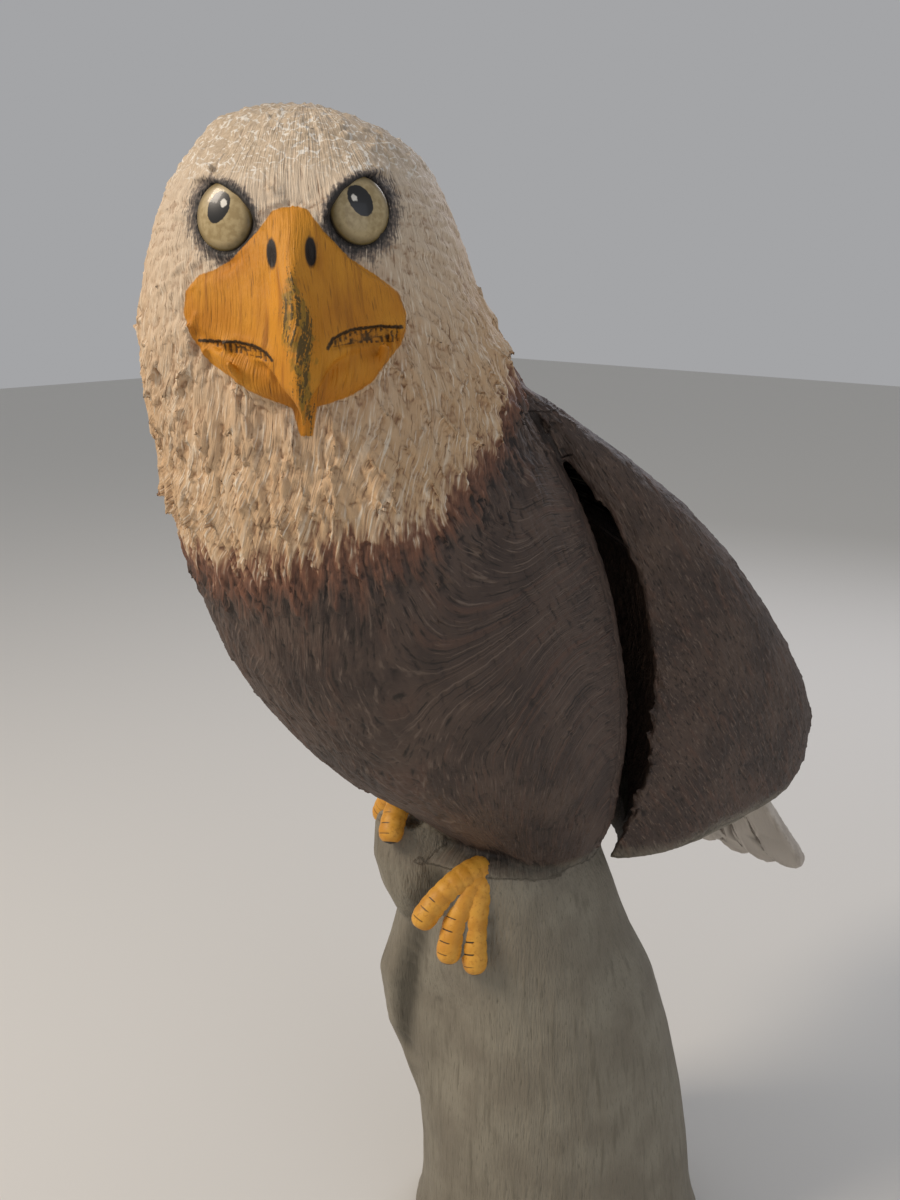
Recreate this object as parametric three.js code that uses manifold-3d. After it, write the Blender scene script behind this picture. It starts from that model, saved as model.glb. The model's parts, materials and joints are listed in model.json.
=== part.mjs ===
// A painted wooden eagle on a stump, carved from one log. Millimetres, +Z up, the body faces -Y, and the origin is
// the centre of the stump's flat underside. The head is turned to the bird's left, which is +X.
import * as THREE from "three";
import { ParametricGeometry } from "three/addons/geometries/ParametricGeometry.js";
import { mergeVertices } from "three/addons/utils/BufferGeometryUtils.js";
import Module from "manifold-3d";

const wasm = await Module();
wasm.setup();

// Driving dimensions of the carving
const PERCH_HEIGHT = 400; // from the underside to the perch, where the bird's own heights start
const STUMP_FOOT_RADIUS = 140;
const STUMP_RADIUS = 126; // at a third of the perch's height
const PERCH_RADIUS = 88;
const KNOB_RADIUS = 45; // branch stub under the right foot
const LOBE_RISE = 42; // burr on the stump's side
const BIRD_X = -28; // the bird's own middle plane, beside the stump's axis
const HEAD_YAW = 48; // degrees that the head is turned to the bird's left
const HEAD_ROLL = 2.5; // degrees that the crown leans to the bird's right
const HEAD_CENTRE = { y: -262, z: 493 };
const EYE_LEVEL = 36; // eye centres above the head's centre
const EYE_SPREAD = 41; // eye centres beside the head's middle plane
const EYE_RADIUS = 23;
const EYE_DOME = 9; // half the eyeball's depth
const SOCKET_WIDTH = 5; // cut around each eye
const BROW_RADIUS = 9;
const BEAK_DROP = 119; // beak tip below the eye level
const NOSTRIL = { x: 3.2, y: 8, z: 11 }; // half sizes of each cut
const NOSTRIL_SPREAD = 12.5;
const MOUTH_DEPTH = 7; // how far the lower beak steps back at the mouth
const LOCK_RELIEF = 4.5; // how far the neck's feather locks stand out
const SLIT_WIDTH = 26; // saw cut between flank and wing
const SLIT_END_Y = 70; // how far back the saw cut reaches
const BACK_GROOVE = 10; // depth of the crease between the folded wings
const TOE_RADIUS = 11;
const TOE_ROOT_RADIUS = 16;
const SCUTE_RELIEF = 1.2; // plates across the toes
const CLAW_LENGTH = 8;
const TAIL_FEATHERS = 5;
const TAIL_LENGTH = 284;
const TAIL_PITCH = 59; // degrees below the horizontal
const TAIL_SPLAY = 6.5; // degrees from one feather to the next
const FEATHER_WIDTH = 48;
const FEATHER_THICKNESS = 11;

const rad = THREE.MathUtils.degToRad;
const smooth = (a, b, x) => THREE.MathUtils.smoothstep(x, a, b);

// A row of stations read as smooth curves: at(t).key is the value of key at t from 0 to 1
function stationCurves(stations) {
  const keys = Object.keys(stations[0]);
  const curves = keys.map(
    (key) => new THREE.CatmullRomCurve3(stations.map((s) => new THREE.Vector3(s[key], 0, 0)), false, "catmullrom", 0.5)
  );
  return (t) => Object.fromEntries(keys.map((key, i) => [key, curves[i].getPoint(t).x]));
}

// A closed three.js surface as a solid, its seams and poles merged
function solid(geometry) {
  const bare = geometry.clone();
  bare.deleteAttribute("normal");
  bare.deleteAttribute("uv");
  const merged = mergeVertices(bare, 1e-3);
  const index = merged.index.array;
  const triangles = [];
  for (let i = 0; i < index.length; i += 3) {
    const [a, b, c] = index.subarray(i, i + 3);
    if (a !== b && b !== c && c !== a) triangles.push(a, b, c);
  }
  const made = new wasm.Manifold(
    new wasm.Mesh({ numProp: 3, vertProperties: merged.attributes.position.array, triVerts: new Uint32Array(triangles) })
  );
  if (made.volume() > 0) return made;
  for (let i = 0; i < triangles.length; i += 3) [triangles[i], triangles[i + 1]] = [triangles[i + 1], triangles[i]];
  return new wasm.Manifold(
    new wasm.Mesh({ numProp: 3, vertProperties: merged.attributes.position.array, triVerts: new Uint32Array(triangles) })
  );
}

// A loft: ring(t, angle) gives a point, and both ends close to a point at the ring's middle
function loft(ring, around, along) {
  const middle = (t) => {
    const sum = new THREE.Vector3();
    for (let i = 0; i < around; i++) sum.add(ring(t, (i / around) * 2 * Math.PI));
    return sum.divideScalar(around);
  };
  const ends = [middle(0), middle(1)];
  const rows = along + 2;
  return solid(
    new ParametricGeometry(
      (u, v, target) => {
        const row = Math.round(v * rows);
        if (row === 0) target.copy(ends[0]);
        else if (row === rows) target.copy(ends[1]);
        else target.copy(ring((row - 1) / along, (Math.round(u * around) % around) * ((2 * Math.PI) / around)));
      },
      around,
      rows
    )
  );
}

function ellipsoid(centre, radii, around = 28, down = 18) {
  const geometry = new THREE.SphereGeometry(1, around, down);
  geometry.scale(radii.x, radii.y, radii.z);
  geometry.translate(centre.x, centre.y, centre.z);
  return geometry;
}

// Body, neck and head in one sweep: rings square to a line that climbs from the vent, inside the stump's top, up the
// breast and the neck to the crown. x, y, z: the ring's middle. half: half width. front, back: its reach either way.
// turn: the share of the head's turn that the ring has.
const BODY_AROUND = 52;
const BODY_ALONG = 38;
const head = (x, dy, dz, half, front, back, turn = 1) => {
  return { x, y: HEAD_CENTRE.y + dy, z: HEAD_CENTRE.z + dz, half, front, back, turn };
};
const bodyAt = stationCurves([
  { x: 0, y: -30, z: -28, half: 62, front: 62, back: 62, turn: 0 },
  { x: 4, y: -38, z: 30, half: 90, front: 70, back: 84, turn: 0 },
  { x: 8, y: -76, z: 112, half: 119, front: 104, back: 118, turn: 0 },
  { x: 7, y: -132, z: 200, half: 136, front: 138, back: 146, turn: 0 },
  { x: 6, y: -186, z: 290, half: 144, front: 150, back: 142, turn: 0.1 },
  { x: 3, y: -226, z: 362, half: 136, front: 132, back: 130, turn: 0.4 },
  head(5, 14, -71, 125, 111, 122, 0.85),
  head(2, 4, -27, 118, 100, 116),
  head(2, 1, 13, 109, 98, 108),
  head(3, 0, 43, 98, 95, 98),
  head(3, 0, 67, 86, 82, 84),
  head(3, 0, 87, 69, 65, 66),
  head(3, 1, 100, 49, 45, 44),
  head(3, 2, 109, 18, 18, 16),
]);

function bodyRing(grow) {
  return (t, angle) => {
    const s = bodyAt(t);
    const below = bodyAt(Math.max(t - 0.01, 0));
    const above = bodyAt(Math.min(t + 0.01, 1));
    const rise = new THREE.Vector3(0, above.y - below.y, above.z - below.z).normalize();
    const yaw = rad(HEAD_YAW * s.turn);
    const ahead = new THREE.Vector3(Math.sin(yaw), -Math.cos(yaw), 0);
    ahead.addScaledVector(rise, Math.cos(yaw) * rise.y).normalize();
    const left = new THREE.Vector3().crossVectors(rise, ahead);
    const more = grow(s.z, t, angle);
    const reach = (Math.cos(angle) > 0 ? s.front : s.back) + more;
    return new THREE.Vector3(s.x, s.y, s.z)
      .addScaledVector(left, (s.half + more) * Math.sin(angle))
      .addScaledVector(ahead, reach * Math.cos(angle));
  };
}

// Feather locks of the neck: rows that overlap like shingles. Each lock is one column of the sweep, its tip a row
// of points that stands proud, and the next row of locks is set between them.
const LOCKS_LOW = 352;
const LOCKS_HIGH = 445;

function locks(z, t, angle) {
  const row = Math.round(t * BODY_ALONG);
  const column = Math.round((angle / (2 * Math.PI)) * BODY_AROUND);
  const fade = smooth(LOCKS_LOW - 20, LOCKS_LOW + 10, z) * (1 - smooth(LOCKS_HIGH, LOCKS_HIGH + 60, z));
  const tip = row % 2 === 0 ? 1 : 0.4;
  const ridge = (column + Math.floor(row / 2)) % 2 === 0 ? 1 : 0;
  return LOCK_RELIEF * fade * tip * ridge;
}

// Thigh masses that swell from the lower body over the feet
function thigh(side) {
  const geometry = ellipsoid({ x: 0, y: 0, z: 0 }, { x: 62, y: 74, z: 112 }, 16, 10);
  geometry.rotateX(rad(24));
  geometry.translate(side * 56, -72, 98);
  return solid(geometry);
}

// Wings folded as one mantle over the back: level sections, from the wings' lower edge up to the nape
const mantleAt = stationCurves([
  { z: -1, half: 118, front: -30, back: 288 },
  { z: 5, half: 134, front: -42, back: 300 },
  { z: 70, half: 146, front: -46, back: 305 },
  { z: 140, half: 155, front: -50, back: 259 },
  { z: 210, half: 158, front: -60, back: 195 },
  { z: 290, half: 150, front: -92, back: 100 },
  { z: 360, half: 133, front: -140, back: -16 },
  { z: 415, half: 104, front: -190, back: -114 },
  { z: 450, half: 60, front: -210, back: -160 },
]);

function mantleRing(t, angle) {
  const s = mantleAt(t);
  const across = Math.sin(angle);
  const lengthwise = Math.cos(angle);
  const blunt = 0.62 + 0.38 * smooth(40, 260, s.z); // below 1 squares the section's corners
  const x = s.half * Math.sign(across) * Math.abs(across) ** blunt;
  const lie = Math.sign(lengthwise) * Math.abs(lengthwise) ** blunt; // 1 at the back, -1 in front
  const crease = lengthwise > 0 ? BACK_GROOVE * Math.exp(-((x / 22) ** 2)) : 0;
  return new THREE.Vector3(x, (s.front + s.back) / 2 + ((s.back - s.front) / 2) * lie - crease, s.z);
}

function mantle() {
  const whole = loft(mantleRing, 32, 12);
  const grow = (z) => SLIT_WIDTH * (1 - smooth(210, 350, z)) * (0.55 + 0.45 * smooth(0, 100, z));
  const cut = loft(bodyRing(grow), 34, 18);
  const reach = new THREE.BoxGeometry(600, 600, 900);
  reach.translate(0, SLIT_END_Y - 300, 100);
  return whole.subtract(cut.intersect(solid(reach)));
}

// Face: its pieces are set out in the head's own frame. x to the bird's left, -y forward, z up.
const headFrame = new THREE.Matrix4()
  .makeTranslation(0, HEAD_CENTRE.y, HEAD_CENTRE.z)
  .multiply(new THREE.Matrix4().makeRotationZ(rad(HEAD_YAW)))
  .multiply(new THREE.Matrix4().makeRotationY(rad(-HEAD_ROLL)));
const headLoft = (ring, around, along) => {
  return loft((t, angle) => ring(t, angle).applyMatrix4(headFrame), around, along);
};

function eye(side, clearance = 0) {
  const radius = EYE_RADIUS + clearance;
  const geometry = ellipsoid({ x: 0, y: 0, z: 0 }, { x: radius, y: EYE_DOME - clearance, z: radius }, 16, 8);
  geometry.rotateX(rad(-10));
  geometry.rotateZ(rad(side * 32));
  geometry.translate(side * EYE_SPREAD, -87, EYE_LEVEL);
  return solid(geometry.applyMatrix4(headFrame));
}

// A round bar along a curve, its radius given along the way
function bar(curve, radiusAt) {
  return (t, angle) => {
    const forward = curve.getTangent(t);
    const aside = new THREE.Vector3(0, 0, 1).cross(forward).normalize();
    const upward = new THREE.Vector3().crossVectors(forward, aside);
    const r = radiusAt(t);
    return curve.getPoint(t).addScaledVector(aside, r * Math.cos(angle)).addScaledVector(upward, r * Math.sin(angle));
  };
}

// Brow: a ridge that slants from the beak's root up and out over the eye
function brow(side) {
  const curve = new THREE.QuadraticBezierCurve3(
    new THREE.Vector3(side * 8, -87, EYE_LEVEL + 9),
    new THREE.Vector3(side * 44, -85, EYE_LEVEL + 33),
    new THREE.Vector3(side * 66, -38, EYE_LEVEL + 32)
  );
  return headLoft(bar(curve, (t) => BROW_RADIUS * (0.45 + 0.55 * Math.sin(Math.PI * t))), 8, 7);
}

// Upper beak and hook: level sections, each a keel in the middle that flares to the cheeks. Below the mouth line only
// the keel goes on, down to the hook's tip.
// z: from the eye level. half: half width. keel: how far forward the keel stands. cheek: the same for the rounded face
// that the flanks run out into.
const KEEL_WIDTH = 17;
const KEEL_CROWD = 1.6; // above 1 crowds a section's points at the keel
const CHEEK_ROUND = 0.0045; // how fast the rounded face falls away, per mm
const CHEEK_TILT = 0.087; // the neck's turn carries the left cheek forward, per mm
const FACE_BACK = 60; // the beak's sections reach back to here, inside the head
const HOOK_DEPTH = 14; // how thick the hook is behind its flanks
const upperBeakAt = stationCurves([
  { z: 6, half: 9, keel: 103, cheek: 100 },
  { z: -6, half: 21, keel: 114, cheek: 101 },
  { z: -18, half: 30, keel: 123, cheek: 101 },
  { z: -30, half: 38, keel: 130, cheek: 102 },
  { z: -39, half: 51, keel: 135, cheek: 103 },
  { z: -46, half: 65, keel: 139, cheek: 104 },
  { z: -56, half: 69, keel: 143, cheek: 105 },
  { z: -67, half: 68, keel: 146, cheek: 105 },
  { z: -74, half: 62, keel: 147, cheek: 106 },
  { z: -78, half: 46, keel: 148, cheek: 106 },
  { z: -82, half: 28, keel: 148, cheek: 105 },
  { z: -88, half: 18, keel: 148, cheek: 104 },
  { z: -98, half: 12, keel: 146, cheek: 104 },
  { z: -108, half: 7, keel: 142, cheek: 104 },
  { z: 2 - BEAK_DROP, half: 3, keel: 136, cheek: 104 },
]);

function upperBeakRing(t, angle) {
  const s = upperBeakAt(t);
  const across = Math.sign(Math.sin(angle)) * Math.abs(Math.sin(angle)) ** KEEL_CROWD * s.half;
  const frontAt = (x) => s.cheek - CHEEK_ROUND * x * x + CHEEK_TILT * x + (s.keel - s.cheek) / (1 + (x / KEEL_WIDTH) ** 2);
  const hooked = smooth(84, 112, -s.z);
  const back = FACE_BACK + (frontAt(s.half) - HOOK_DEPTH - FACE_BACK) * hooked;
  return new THREE.Vector3(across, -(Math.cos(angle) > 0 ? frontAt(across) : back), EYE_LEVEL + s.z);
}

// Lower beak: it steps back under the upper one, which leaves the mouth as a groove
const lowerBeakAt = stationCurves([
  { z: -70, half: 60 - MOUTH_DEPTH, front: 107 - MOUTH_DEPTH },
  { z: -79, half: 60 - MOUTH_DEPTH, front: 107 - MOUTH_DEPTH },
  { z: -84, half: 60, front: 108 },
  { z: -93, half: 54, front: 111 },
  { z: -104, half: 43, front: 110 },
  { z: -111, half: 28, front: 105 },
]);

function lowerBeakRing(t, angle) {
  const s = lowerBeakAt(t);
  const across = s.half * Math.sin(angle);
  const shoulder = 78; // where the rounded front starts
  const front = shoulder + (s.front - shoulder) * (1 - Math.sin(angle) ** 4) ** 0.25 + CHEEK_TILT * across;
  return new THREE.Vector3(across, -(Math.cos(angle) > 0 ? front : FACE_BACK), EYE_LEVEL + s.z);
}

function beak() {
  let made = headLoft(upperBeakRing, 30, 16).add(headLoft(lowerBeakRing, 22, 7));
  for (const side of [1, -1]) {
    const nostril = ellipsoid({ x: side * NOSTRIL_SPREAD, y: -118, z: EYE_LEVEL - 21 }, NOSTRIL, 8, 6);
    made = made.subtract(solid(nostril.applyMatrix4(headFrame)));
  }
  return made;
}

// Toes lie over the edge of the wood, with plates across them and a short claw
function toe(from, to) {
  const start = new THREE.Vector3(...from);
  const tip = new THREE.Vector3(...to);
  const knuckle = start.clone().lerp(tip, 0.5).add(new THREE.Vector3(0, -12, 18));
  const curve = new THREE.QuadraticBezierCurve3(start, knuckle, tip);
  const along = 9;
  const clawStart = 1 - CLAW_LENGTH / curve.getLength();
  const radiusAt = (t) => {
    if (t > clawStart) return TOE_RADIUS * 0.36;
    const scute = SCUTE_RELIEF * (Math.round(t * along) % 2);
    return THREE.MathUtils.lerp(TOE_ROOT_RADIUS, TOE_RADIUS, smooth(0, 0.6, t)) - scute;
  };
  return loft(bar(curve, radiusAt), 7, along);
}

const leftFoot = { from: [34, -114, 2], tips: [[17, -175, -34], [39, -163, -63], [56, -146, -73]] };
const rightFoot = { from: [-52, -110, 54], tips: [[-31, -162, 22], [-87, -120, 14], [-101, -96, 12]] };

// Tail: a fan of overlapping feathers under the wings
const tailRoot = { y: 196, z: 92 };

function tailFeather(i) {
  const place = i - (TAIL_FEATHERS - 1) / 2;
  const half = FEATHER_WIDTH / 2;
  const length = TAIL_LENGTH - Math.abs(place) * 9;
  const outline = new THREE.Shape();
  outline.moveTo(-half * 0.5, 0);
  outline.lineTo(half * 0.5, 0);
  outline.lineTo(half, length - half);
  outline.absarc(0, length - half, half, 0, Math.PI, false);
  outline.closePath();
  const geometry = new THREE.ExtrudeGeometry(outline, { depth: FEATHER_THICKNESS, bevelEnabled: false, curveSegments: 5 });
  geometry.rotateZ(rad(-place * TAIL_SPLAY));
  geometry.translate(place * 10, 0, -Math.abs(place) * 5);
  geometry.rotateX(rad(-TAIL_PITCH));
  geometry.translate(0, tailRoot.y, tailRoot.z);
  return solid(geometry);
}

// Stump: level sections from the flat underside up to the perch. share: of the perch's height. x, y: the middle.
const stumpAt = stationCurves([
  { share: 0, x: 0, y: 0, r: STUMP_FOOT_RADIUS },
  { share: 0.1, x: -1, y: -1, r: STUMP_RADIUS + 2 },
  { share: 0.3, x: -4, y: -4, r: STUMP_RADIUS },
  { share: 0.62, x: -11, y: -20, r: (STUMP_RADIUS + PERCH_RADIUS) / 2 + 8 },
  { share: 0.82, x: -20, y: -44, r: PERCH_RADIUS + 14 },
  { share: 0.94, x: -21, y: -52, r: PERCH_RADIUS + 2 },
  { share: 1.02, x: -23, y: -58, r: PERCH_RADIUS - 8 },
  { share: 1.05, x: -23, y: -58, r: PERCH_RADIUS - 34 },
]);
const LOBE = { angle: rad(222), width: rad(17), share: 0.61, reach: 0.17 };

function stumpRing(t, angle) {
  const s = stumpAt(t);
  const apart = Math.atan2(Math.sin(angle - LOBE.angle), Math.cos(angle - LOBE.angle));
  const beside = apart + 2.1 * LOBE.width;
  const level = Math.exp(-(((s.share - LOBE.share) / LOBE.reach) ** 2));
  const lobe = LOBE_RISE * level * Math.exp(-((apart / LOBE.width) ** 2));
  const groove = LOBE_RISE * 0.22 * level * Math.exp(-((beside / LOBE.width) ** 2));
  const wander = 2.5 * Math.sin(2 * angle + 5 * s.share) * smooth(0, 0.1, s.share);
  const r = s.r + lobe - groove + wander;
  return new THREE.Vector3(s.x + r * Math.sin(angle), s.y + r * Math.cos(angle), s.share * PERCH_HEIGHT);
}

function knob() {
  const curve = new THREE.QuadraticBezierCurve3(
    new THREE.Vector3(-36, -74, PERCH_HEIGHT * 0.8),
    new THREE.Vector3(-66, -108, PERCH_HEIGHT * 0.86),
    new THREE.Vector3(-76, -117, PERCH_HEIGHT * 1.08)
  );
  const radiusAt = (t) => KNOB_RADIUS * (0.6 + 0.4 * smooth(0, 0.6, t) - 0.2 * smooth(0.8, 1, t));
  return loft(bar(curve, radiusAt), 12, 6);
}

let body = loft(bodyRing(locks), BODY_AROUND, BODY_ALONG);
for (const side of [1, -1]) body = body.subtract(eye(side, SOCKET_WIDTH));
const pieces = [body, mantle(), beak()];
for (const side of [1, -1]) pieces.push(thigh(side), eye(side), brow(side));
for (const foot of [leftFoot, rightFoot]) pieces.push(...foot.tips.map((tip) => toe(foot.from, tip)));
for (let i = 0; i < TAIL_FEATHERS; i++) pieces.push(tailFeather(i));
const bird = pieces.reduce((all, piece) => all.add(piece)).translate([BIRD_X, 0, PERCH_HEIGHT]);
const whole = bird.add(loft(stumpRing, 32, 13)).add(knob());

function geometryOf(manifold) {
  const mesh = manifold.getMesh();
  const geometry = new THREE.BufferGeometry();
  geometry.setAttribute("position", new THREE.BufferAttribute(mesh.vertProperties, 3));
  geometry.setIndex(new THREE.BufferAttribute(mesh.triVerts, 1));
  geometry.computeVertexNormals();
  return geometry;
}

const paintedWood = new THREE.MeshStandardMaterial({ color: 0x4a3b33, roughness: 0.75, metalness: 0 });
const group = new THREE.Group();
const eagle = new THREE.Mesh(geometryOf(whole), paintedWood);
eagle.name = "eagle_on_stump";
group.add(eagle);

export default group;
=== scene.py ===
# %% [markdown]
# # A painted wooden eagle on a stump
# The real figure is cut from one log with gouges and V-tools and painted by hand: a cream head and neck, a
# brown body, a yellow beak and toes, and a grey-green stump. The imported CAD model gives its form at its
# real size. This lesson lays the carver's cuts and the painter's coats over that form. The model could be
# dressed with bump alone, but a carving is known by its outline and its shadows, so the cuts are made in
# the mesh and only the finest brush marks are left to the material.

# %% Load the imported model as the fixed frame
import json
import math

import bmesh
import bpy
import numpy as np
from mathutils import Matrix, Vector

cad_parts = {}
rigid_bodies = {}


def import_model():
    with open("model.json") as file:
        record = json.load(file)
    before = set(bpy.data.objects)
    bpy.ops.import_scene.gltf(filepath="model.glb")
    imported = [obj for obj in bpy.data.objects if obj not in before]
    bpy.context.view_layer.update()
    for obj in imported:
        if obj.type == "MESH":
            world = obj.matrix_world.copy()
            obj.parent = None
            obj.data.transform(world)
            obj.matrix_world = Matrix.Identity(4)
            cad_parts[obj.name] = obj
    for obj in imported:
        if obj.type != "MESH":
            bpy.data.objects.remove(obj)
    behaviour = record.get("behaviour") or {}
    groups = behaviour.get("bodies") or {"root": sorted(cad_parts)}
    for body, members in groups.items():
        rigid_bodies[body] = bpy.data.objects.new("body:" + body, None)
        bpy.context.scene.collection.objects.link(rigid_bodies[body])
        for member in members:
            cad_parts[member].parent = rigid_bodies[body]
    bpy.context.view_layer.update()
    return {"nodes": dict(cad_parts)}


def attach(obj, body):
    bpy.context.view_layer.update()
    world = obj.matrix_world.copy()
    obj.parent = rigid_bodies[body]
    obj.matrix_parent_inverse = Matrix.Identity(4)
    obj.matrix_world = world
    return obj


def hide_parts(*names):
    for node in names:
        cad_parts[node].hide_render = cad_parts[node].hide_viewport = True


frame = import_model()

# %% [markdown]
# ## Measures
# A carver draws the bird on the log before cutting. These are the same lines that the CAD source was drawn
# with, in millimetres: the bird's perch, the head's place and turn, and the rings of the body from the vent
# to the crown. They aren't used to build the form again, only to know where on it each cut and each paint
# belongs.

# %% The drawing on the log
MM = 0.001
BIRD = np.array([-28.0, 0.0, 400.0])  # the perch, where the bird's own heights start
HEAD = np.array([0.0, -262.0, 493.0])  # the head's centre, from the perch
HEAD_YAW = math.radians(48)
HEAD_ROLL = math.radians(2.5)
EYE_LEVEL = 36.0
EYE_SPREAD = 41.0
EYE_RAISED = 3.0  # how far the carved eye's middle is above the eye level
EYE_WIDE = 18.4  # half sizes of the carved eye
EYE_TALL = 21.6
# Each ring of the body: y and z of its middle, half width, reach in front and behind, share of head's turn
RINGS = np.array(
    [
        [-30, -28, 62, 62, 62, 0],
        [-38, 30, 90, 70, 84, 0],
        [-76, 112, 119, 104, 118, 0],
        [-132, 200, 136, 138, 146, 0],
        [-186, 290, 144, 150, 142, 0.1],
        [-226, 362, 136, 132, 130, 0.4],
        [-248, 422, 125, 111, 122, 0.85],
        [-258, 466, 118, 100, 116, 1],
        [-261, 506, 109, 98, 108, 1],
        [-262, 560, 86, 82, 84, 1],
        [-261, 602, 18, 18, 16, 1],
    ]
)
# Where each wing's front edge lies: height above the perch, then y
WING_EDGE = [[-1, -30], [5, -42], [70, -46], [140, -50], [210, -60], [290, -92], [360, -140], [415, -190]]
WING_EDGE = np.array(WING_EDGE)
# Which way the wing's and the tail's feathers point, and the way a log's own grain runs
WING_LIE = np.array([0, 0.64, -0.77])
TAIL_LIE = np.array([0, 0.515, -0.857])
UP = np.array([0, 0, 1.0])
TAIL_FROM = 150  # the tail feathers lie behind this, in millimetres


def turned(angle, axis):
    """A turn about y or z as a 3 x 3 matrix."""
    c, s = math.cos(angle), math.sin(angle)
    if axis == "z":
        return np.array([[c, -s, 0], [s, c, 0], [0, 0, 1]])
    return np.array([[c, 0, s], [0, 1, 0], [-s, 0, c]])


HEAD_TURN = turned(HEAD_YAW, "z") @ turned(-HEAD_ROLL, "y")


def in_head(points):
    """Points in the head's own frame: x to the bird's left, -y forward, z up from the eyes."""
    return (points - BIRD - HEAD) @ HEAD_TURN - [0, 0, EYE_LEVEL]


def from_head(points):
    """The way back from in_head."""
    return (np.asarray(points, float) + [0, 0, EYE_LEVEL]) @ HEAD_TURN.T + HEAD + BIRD


def smooth(low, high, x):
    """0 below low, 1 above high, and a soft step between. With low and high swapped it falls instead."""
    t = np.clip((x - low) / (high - low), 0, 1)
    return t * t * (3 - 2 * t)


def unit(vectors):
    """Vectors shortened or stretched to the length 1."""
    return vectors / np.maximum(np.linalg.norm(vectors, axis=-1, keepdims=True), 1e-9)


def tail_share(points, low=392, high=400):
    """1 on the tail feathers, 0 on the rest. Low and high are the heights where the body begins."""
    return smooth(TAIL_FROM, TAIL_FROM + 30, points[:, 1]) * (1 - smooth(low, high, points[:, 2]))


print("The eyes look towards", np.round(HEAD_TURN @ [0, -1, 0], 2))

# %% [markdown]
# ## Sheets of numbers
# Blender hands a mesh over as long rows of numbers, which is much faster than one vertex at a time. Two
# short functions read a mesh's points and normals in millimetres and move the points back.


# %% Reading and moving a mesh
def points_of(mesh):
    """A mesh's points in millimetres."""
    flat = np.empty(len(mesh.vertices) * 3, np.float32)
    mesh.vertices.foreach_get("co", flat)
    return flat.reshape(-1, 3).astype(float) / MM


def normals_of(mesh):
    """The direction that points out of the surface, for each point."""
    flat = np.empty(len(mesh.vertices) * 3, np.float32)
    mesh.vertex_normals.foreach_get("vector", flat)
    return flat.reshape(-1, 3).astype(float)


def move_points(mesh, points):
    """Puts a mesh's points at new places, given in millimetres."""
    mesh.vertices.foreach_set("co", (points * MM).astype(np.float32).ravel())
    mesh.update()


def keep_on_points(mesh, name, values):
    """Stores one number or one vector for each vertex, under a name that nodes can read."""
    wide = np.ndim(values) == 2
    layer = mesh.attributes.new(name, "FLOAT_VECTOR" if wide else "FLOAT", "POINT")
    layer.data.foreach_set("vector" if wide else "value", np.asarray(values, np.float32).ravel())


def shown(name, mesh):
    """A mesh as an object at the origin."""
    made = bpy.data.objects.new(name, mesh)
    bpy.context.scene.collection.objects.link(made)
    return made


def baked(made, name):
    """What an object's modifiers make of it, as a plain mesh."""
    graph = bpy.context.evaluated_depsgraph_get()
    mesh = bpy.data.meshes.new_from_object(made.evaluated_get(graph))
    mesh.name = name
    return mesh


def thrown_away(made):
    """Removes a working object and its mesh."""
    mesh = made.data
    bpy.data.objects.remove(made)
    bpy.data.meshes.remove(mesh)


# %% [markdown]
# ## Skin
# The CAD solid has broad facets. A voxel remesh lays an even skin over it, and smoothing melts the facets
# away as a carver's rasp would. The face has small forms that must stay, so a vertex group holds the
# smoothing back there.

# %% Rasp the facets off the block
SKIN_VOXEL = 2.2 * MM
RASP_PASSES = 34
RASP_SHADES = 10  # how finely the hand's pressure is told apart

block_mesh = frame["nodes"]["eagle_on_stump"].data.copy()
loose = bmesh.new()
loose.from_mesh(block_mesh)
bmesh.ops.remove_doubles(loose, verts=loose.verts, dist=0.01 * MM)
loose.to_mesh(block_mesh)
loose.free()
block = shown("block", block_mesh)
block.modifiers.new("Skin", "REMESH").voxel_size = SKIN_VOXEL
skin_mesh = baked(block, "skin")
thrown_away(block)

skin = shown("skin", skin_mesh)
at = points_of(skin_mesh)
face = in_head(at)
on_face = smooth(40, 70, -face[:, 1]) * smooth(-170, -140, face[:, 2]) * (1 - smooth(48, 62, face[:, 2]))
on_face *= 1 - smooth(72, 92, np.abs(face[:, 0]))
on_foot = smooth(-90, -110, at[:, 1]) * smooth(320, 335, at[:, 2]) * (1 - smooth(455, 470, at[:, 2]))
on_tail = tail_share(at)
flat_foot = 1 - smooth(0, 8, at[:, 2])
keep = 1 - np.maximum.reduce([0.9 * on_face, 0.6 * on_foot, 0.8 * on_tail, flat_foot])
group = skin.vertex_groups.new(name="rasp")
for step in range(RASP_SHADES + 1):
    chosen = np.flatnonzero(np.round(keep * RASP_SHADES) == step)
    group.add(chosen.tolist(), step / RASP_SHADES, "REPLACE")
rasp = skin.modifiers.new("Rasp", "SMOOTH")
rasp.factor = 0.5
rasp.iterations = RASP_PASSES
rasp.vertex_group = "rasp"
form_mesh = baked(skin, "form")
thrown_away(skin)
print("The rasped form has", len(form_mesh.vertices), "points")

# %% [markdown]
# ## Grain of the feathers
# Feathers lie one way: from the beak's root over the crown, down the neck and breast, back along the
# flanks, and down the wings. One function gives that direction anywhere on the bird. It also gives the
# height along the body's rings, which says how far down the neck a point is.

# %% Which way the feathers lie
RING_STEPS = 80
EVENED_OVER = 17  # how many rings the turn of the body's middle line is averaged over
BODY_ASIDE = 4.0  # how far the body's middle lies to the bird's left of the perch
FEATHER_SOURCE = from_head([0, -104, 8])  # the beak's root, where the face's feathers start

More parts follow.
